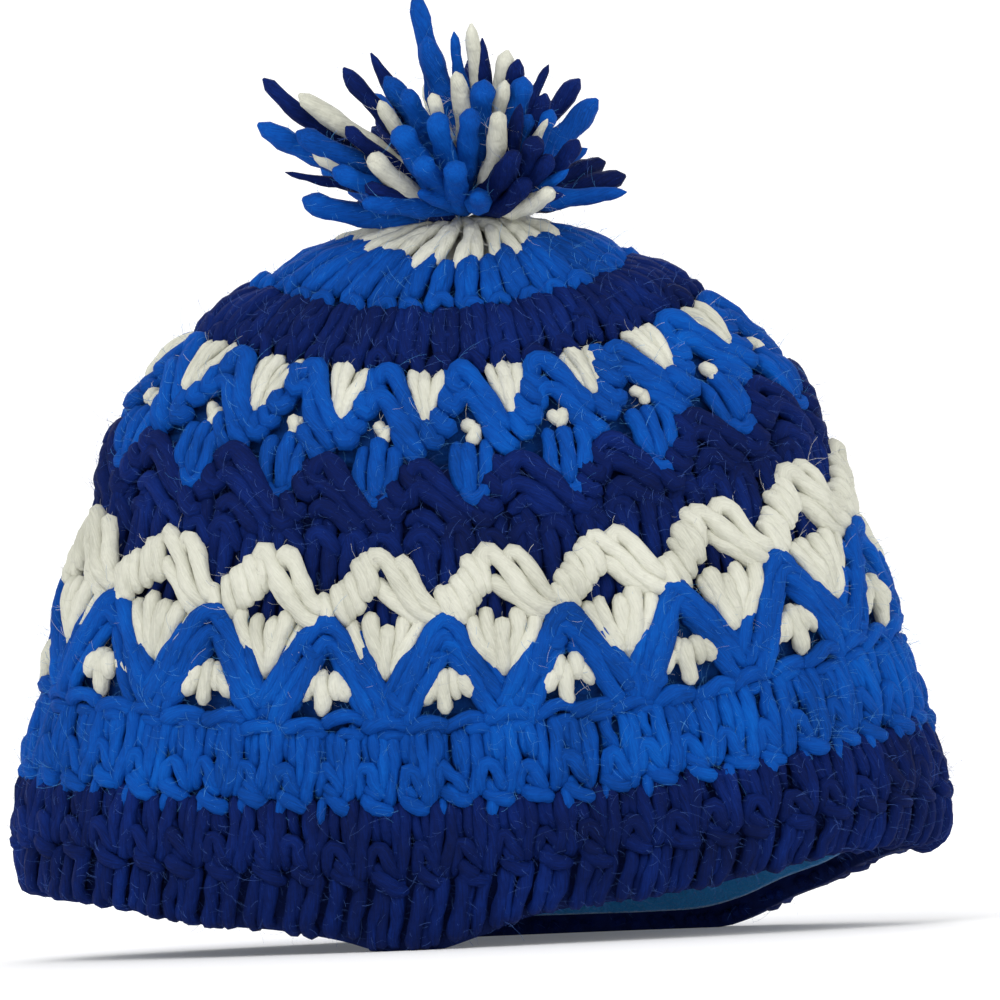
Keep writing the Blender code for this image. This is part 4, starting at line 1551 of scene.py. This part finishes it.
@dataclass
class Pompom:
    """The loose pompom: locks of felted roving in three wools that fan out of a tie."""

    shop: Workshop
    offset_x: float = 0.005
    tie_height: float = 0.0045
    root_height: float = 0.0018
    lock_length: float = 0.050
    radius_mm: float = 3.1
    back_locks: int = 34
    back_slopes: tuple[float, float] = (0.02, 0.93)
    seed: int = 81
    # Tips about the tie, as shares of lock_length: sideways, up, reach, then the lock's thickness as
    # a share of radius_mm, its sideways bow as a share of its length, and its wool
    locks: tuple = (
        (-1.16, 0.76, 1.42, 0.95, 0.10, Yarn.NAVY),
        (-1.20, 0.50, 1.34, 1.00, 0.08, Yarn.ROYAL),
        (-0.98, 0.44, 1.16, 1.05, 0.06, Yarn.ROYAL),
        (-1.06, 0.22, 1.12, 0.70, 0.04, Yarn.NAVY),
        (-0.96, 0.06, 1.02, 1.05, 0.12, Yarn.ROYAL),
        (-0.62, 0.02, 0.78, 1.00, 0.08, Yarn.ROYAL),
        (-0.96, 0.66, 1.22, 1.05, 0.06, Yarn.IVORY),
        (-0.90, 0.34, 1.02, 0.90, 0.05, Yarn.IVORY),
        (-0.70, 0.80, 1.10, 1.00, 0.05, Yarn.NAVY),
        (-0.54, 0.88, 1.06, 1.10, 0.04, Yarn.NAVY),
        (-0.27, 1.22, 1.26, 1.08, 0.02, Yarn.ROYAL),
        (-0.22, 0.96, 1.02, 1.25, 0.02, Yarn.ROYAL),
        (-0.06, 0.98, 1.02, 0.95, 0.01, Yarn.ROYAL),
        (0.04, 1.02, 1.06, 0.80, -0.02, Yarn.IVORY),
        (0.10, 0.94, 0.98, 1.20, -0.03, Yarn.NAVY),
        (0.24, 0.86, 0.94, 1.00, -0.03, Yarn.IVORY),
        (0.30, 0.80, 0.92, 0.95, -0.05, Yarn.NAVY),
        (0.33, 0.70, 0.87, 1.00, -0.06, Yarn.ROYAL),
        (0.45, 0.60, 0.84, 0.95, -0.14, Yarn.NAVY),
        (0.48, 0.50, 0.80, 0.75, -0.12, Yarn.ROYAL),
        (0.45, 0.45, 0.77, 0.80, -0.08, Yarn.IVORY),
        (0.62, 0.32, 0.84, 1.00, -0.22, Yarn.NAVY),
        (0.56, 0.16, 0.76, 0.95, -0.10, Yarn.ROYAL),
        (0.46, 0.04, 0.68, 1.05, -0.16, Yarn.IVORY),
        (0.52, 0.02, 0.70, 0.85, -0.06, Yarn.NAVY),
        (-0.56, 0.30, 0.80, 1.20, 0.22, Yarn.IVORY),
        (-0.50, 0.60, 0.86, 0.90, 0.08, Yarn.IVORY),
        (-0.36, 0.66, 0.86, 1.00, 0.04, Yarn.ROYAL),
        (-0.20, 0.62, 0.84, 0.70, 0.02, Yarn.IVORY),
        (-0.06, 0.74, 0.90, 1.00, 0.0, Yarn.IVORY),
        (0.10, 0.68, 0.86, 1.10, -0.02, Yarn.ROYAL),
        (0.22, 0.68, 0.86, 0.90, -0.04, Yarn.IVORY),
        (0.18, 0.50, 0.80, 1.00, -0.04, Yarn.IVORY),
        (0.30, 0.54, 0.82, 1.05, -0.06, Yarn.NAVY),
        (-0.40, 0.44, 0.80, 1.10, 0.12, Yarn.ROYAL),
        (-0.18, 0.50, 0.80, 1.10, 0.10, Yarn.ROYAL),
        (0.02, 0.52, 0.80, 1.10, 0.08, Yarn.ROYAL),
        (0.38, 0.34, 0.76, 1.05, -0.12, Yarn.NAVY),
        (0.26, 0.26, 0.72, 1.05, -0.06, Yarn.NAVY),
        (0.46, 0.24, 0.74, 1.00, -0.14, Yarn.NAVY),
        (-0.28, 0.24, 0.72, 1.10, 0.14, Yarn.ROYAL),
        (-0.08, 0.20, 0.68, 1.10, 0.08, Yarn.ROYAL),
        (0.02, 0.02, 0.60, 1.05, 0.0, Yarn.ROYAL),
        (-0.78, 0.22, 0.92, 1.00, 0.08, Yarn.ROYAL),
        (-0.70, 0.46, 0.94, 0.90, 0.06, Yarn.NAVY),
        (-0.46, 0.74, 0.92, 1.00, 0.02, Yarn.ROYAL),
        (0.36, 0.48, 0.72, 0.85, -0.08, Yarn.ROYAL),
        (-0.60, 0.12, 0.76, 0.95, 0.10, Yarn.NAVY),
        (0.32, 0.10, 0.64, 0.95, -0.06, Yarn.NAVY),
        (-0.30, 0.06, 0.62, 1.00, 0.06, Yarn.ROYAL),
    )

    def tips(self, chance: random.Random) -> list[tuple[np.ndarray, float, float, Yarn]]:
        """Tips, thicknesses, bows and wools of all the locks.

        Args:
            chance: The source of the back locks' small differences.

        Returns:
            A row for each lock, with its tip about the tie in metres.
        """
        rows = []
        for side, up, reach, thick, bow, yarn in self.locks:
            depth = math.sqrt(max(reach**2 - side**2 - up**2, 0.0))
            rows.append((np.array([side, -depth, up]) * self.lock_length, thick, bow, yarn))
        golden = math.pi * (3 - math.sqrt(5))
        wools = (Yarn.ROYAL, Yarn.NAVY, Yarn.ROYAL, Yarn.IVORY, Yarn.NAVY, Yarn.ROYAL, Yarn.IVORY)
        for k in range(self.back_locks):
            slope = self.back_slopes[0] + self.back_slopes[1] * (k + 0.5) / self.back_locks
            turn = math.pi * ((k * golden / math.pi) % 1.0)
            flat = math.sqrt(1 - slope**2)
            reach = self.lock_length * chance.uniform(0.80, 0.98)
            tip = np.array([flat * math.cos(turn), flat * math.sin(turn), slope]) * reach
            rows.append((tip, chance.uniform(0.85, 1.15), 0.0, wools[k % len(wools)]))
        return rows

    def lock(self, tip: np.ndarray, bow: float, root: np.ndarray, chance: random.Random) -> np.ndarray:
        """The middle line of one lock.

        Args:
            tip: Its tip.
            bow: How far it bows sideways, as a share of its length.
            root: Where the yarn is tied.
            chance: The source of its small bends.

        Returns:
            Points from the tie to the tip.
        """
        reach = tip - root
        length = np.linalg.norm(reach)
        heading = reach / length
        aside = np.cross(heading, [0.0, 1.0, 0.0])
        aside /= max(np.linalg.norm(aside), 1e-6)
        stray = np.array([chance.uniform(-1, 1) for _ in range(3)]) * 2.2 * MM
        start = root + heading * 3.0 * MM + stray * 0.6
        bend = root + reach * 0.5 + aside * bow * length + stray
        t = np.linspace(0, 1, 26)[:, None]
        points = start * (1 - t) ** 2 + bend * 2 * t * (1 - t) + tip * t**2
        wave = np.sin(t * math.pi * chance.uniform(1.2, 2.4) + chance.uniform(0, 3)) * t * (1 - t)
        return points + aside * wave * 2.4 * MM

    def make(self) -> None:
        """Makes the locks of each wool and hides the solid."""
        form = self.shop.form
        crown = form.skin(np.array(0.0), np.array(form.length()))[2] - form.hem_press
        tie = np.array([self.offset_x, 0.0, crown + self.tie_height])
        root = np.array([self.offset_x, 0.0, crown + self.root_height])
        layers = {
            yarn: YarnLayer(self.shop, f"{yarn.value}_pompom_locks", yarn, self.seed + 1 + k)
            for k, yarn in enumerate(Yarn)
        }
        chance = random.Random(self.seed)
        for tip, thick, bow, yarn in self.tips(chance):
            points = self.lock(tie + tip, bow, root, chance)
            t = np.linspace(0, 1, len(points))
            leaf = 0.58 + 0.44 * np.minimum(1, t / 0.4) ** 0.8
            pointed = 0.35 if chance.random() < 0.2 else chance.uniform(0.75, 1.0)
            leaf *= 1 - (1 - pointed) * np.clip((t - 0.5) / 0.5, 0, 1) ** 1.3
            leaf *= np.sqrt(1 - np.clip((t - 0.90) / 0.105, 0, 1) ** 2)
            layers[yarn].add(points, self.radius_mm * MM * thick * leaf, tip=0.6)
        for yarn, layer in layers.items():
            stand_for(layer.finish(0.8), "yarn_pompom")


@dataclass
class Studio:
    """A pale floor that sweeps up behind the hat, soft lights and the camera."""

    distance: float = 3.5
    elevation_deg: float = -0.4
    roll_deg: float = 2.5
    frame_width: float = 0.2866
    target: tuple[float, float, float] = (0.0093, 0.0, 0.1262)
    floor_half_width: float = 9.0
    floor_end: float = 6.0
    sweep_radius: float = 1.5
    wall_top: float = 8.0
    sky_strength: float = 0.75
    light_height: float = 0.12
    # Each lamp's name, place, size in metres and power in watts
    lamps: tuple = (
        ("key", (-1.2, -2.2, 2.4), 2.2, 44),
        ("fill", (1.8, -2.0, 1.2), 1.6, 14),
        ("back", (0.1, 1.4, 1.0), 0.9, 9),
    )

    def make(self) -> None:
        """Builds the studio."""
        self.sweep()
        self.lights()
        self.camera()

    def sweep(self) -> None:
        """A floor that curves up into a wall, which glows as painted light."""
        wide, end, bend = self.floor_half_width, self.floor_end, self.sweep_radius
        rows = [(-wide, 0.0), (end, 0.0)]
        for angle in np.linspace(0.1, math.pi / 2, 14):
            rows.append((end + bend * math.sin(angle), bend - bend * math.cos(angle)))
        rows.append((end + bend, self.wall_top))
        verts = [(x, y, z) for y, z in rows for x in (-wide, wide)]
        faces = [(2 * k, 2 * k + 1, 2 * k + 3, 2 * k + 2) for k in range(len(rows) - 1)]
        mesh = bpy.data.meshes.new("studio_floor")
        mesh.from_pydata(verts, [], faces)
        mesh.shade_smooth()
        floor = new_object("studio_floor", mesh)
        paper, tree, shader = new_material("white studio paper")
        shader.inputs["Base Color"].default_value = linear("F6F6F6")
        shader.inputs["Roughness"].default_value = 1.0
        shader.inputs["Specular IOR Level"].default_value = 0.0
        # Painted light: the paper glows, at 0.10 within 0.25 m of the middle and rising to 0.32 from 1.6 m
        # out, so the far floor and the wall read plain white while the shadow near the hat stays grey
        shader.inputs["Emission Color"].default_value = (1, 1, 1, 1)
        place = add_node(tree, "ShaderNodeTexCoord")
        reach = add_node(tree, "ShaderNodeVectorMath", {0: place.outputs["Object"]}, operation="LENGTH")
        fade = {"From Min": 0.25, "From Max": 1.6, "To Min": 0.10, "To Max": 0.32}
        glow = add_node(tree, "ShaderNodeMapRange", {"Value": reach.outputs["Value"], **fade})
        tree.links.new(glow.outputs[0], shader.inputs["Emission Strength"])
        mesh.materials.append(paper)

    def lights(self) -> None:
        """A white sky, a broad light over the front and a weaker one at the side."""
        bpy.context.scene.view_settings.view_transform = "Standard"
        world = bpy.data.worlds.new("studio sky")
        bpy.context.scene.world = world
        world.use_nodes = True
        sky = world.node_tree.nodes["Background"]
        sky.inputs["Color"].default_value = (1, 1, 1, 1)
        sky.inputs["Strength"].default_value = self.sky_strength
        for name, place, size, power in self.lamps:
            data = bpy.data.lights.new(name, "AREA")
            data.size, data.energy = size, power
            lamp = new_object(name, data)
            aim = Vector((0, 0, self.light_height)) - Vector(place)
            lamp.matrix_world = Matrix.Translation(place) @ aim.to_track_quat("-Z", "Y").to_matrix().to_4x4()

    def camera(self) -> None:
        """The camera at the photograph's angle, turned a little about its view axis."""
        data = bpy.data.cameras.new("camera")
        data.sensor_width = 36.0
        data.lens = 36.0 * self.distance / self.frame_width
        data.clip_end = 50.0
        camera = new_object("camera", data)
        lift = math.radians(self.elevation_deg)
        target = Vector(self.target)
        place = target + Vector((0, -math.cos(lift), math.sin(lift))) * self.distance
        look = (target - place).to_track_quat("-Z", "Y").to_matrix().to_4x4()
        roll = Matrix.Rotation(math.radians(-self.roll_deg), 4, "Z")
        camera.matrix_world = Matrix.Translation(place) @ look @ roll
        bpy.context.scene.camera = camera


def main() -> None:
    """Builds the hat round by round, then the studio."""
    logging.basicConfig(level=logging.INFO, format="%(message)s")
    shop = Workshop(HatForm(), WoolBox().fill(), YarnTree(), FuzzTree())
    builders = (BrimRounds, ArchRound, ZigzagRound, MiddleRound, LaceRound, CrownRounds, CrownCap)
    for builder in (*builders, Sweatband, Pompom):
        builder(shop).make()
        LOG.info("%s made", builder.__name__)
    Studio().make()


if __name__ == "__main__":
    main()
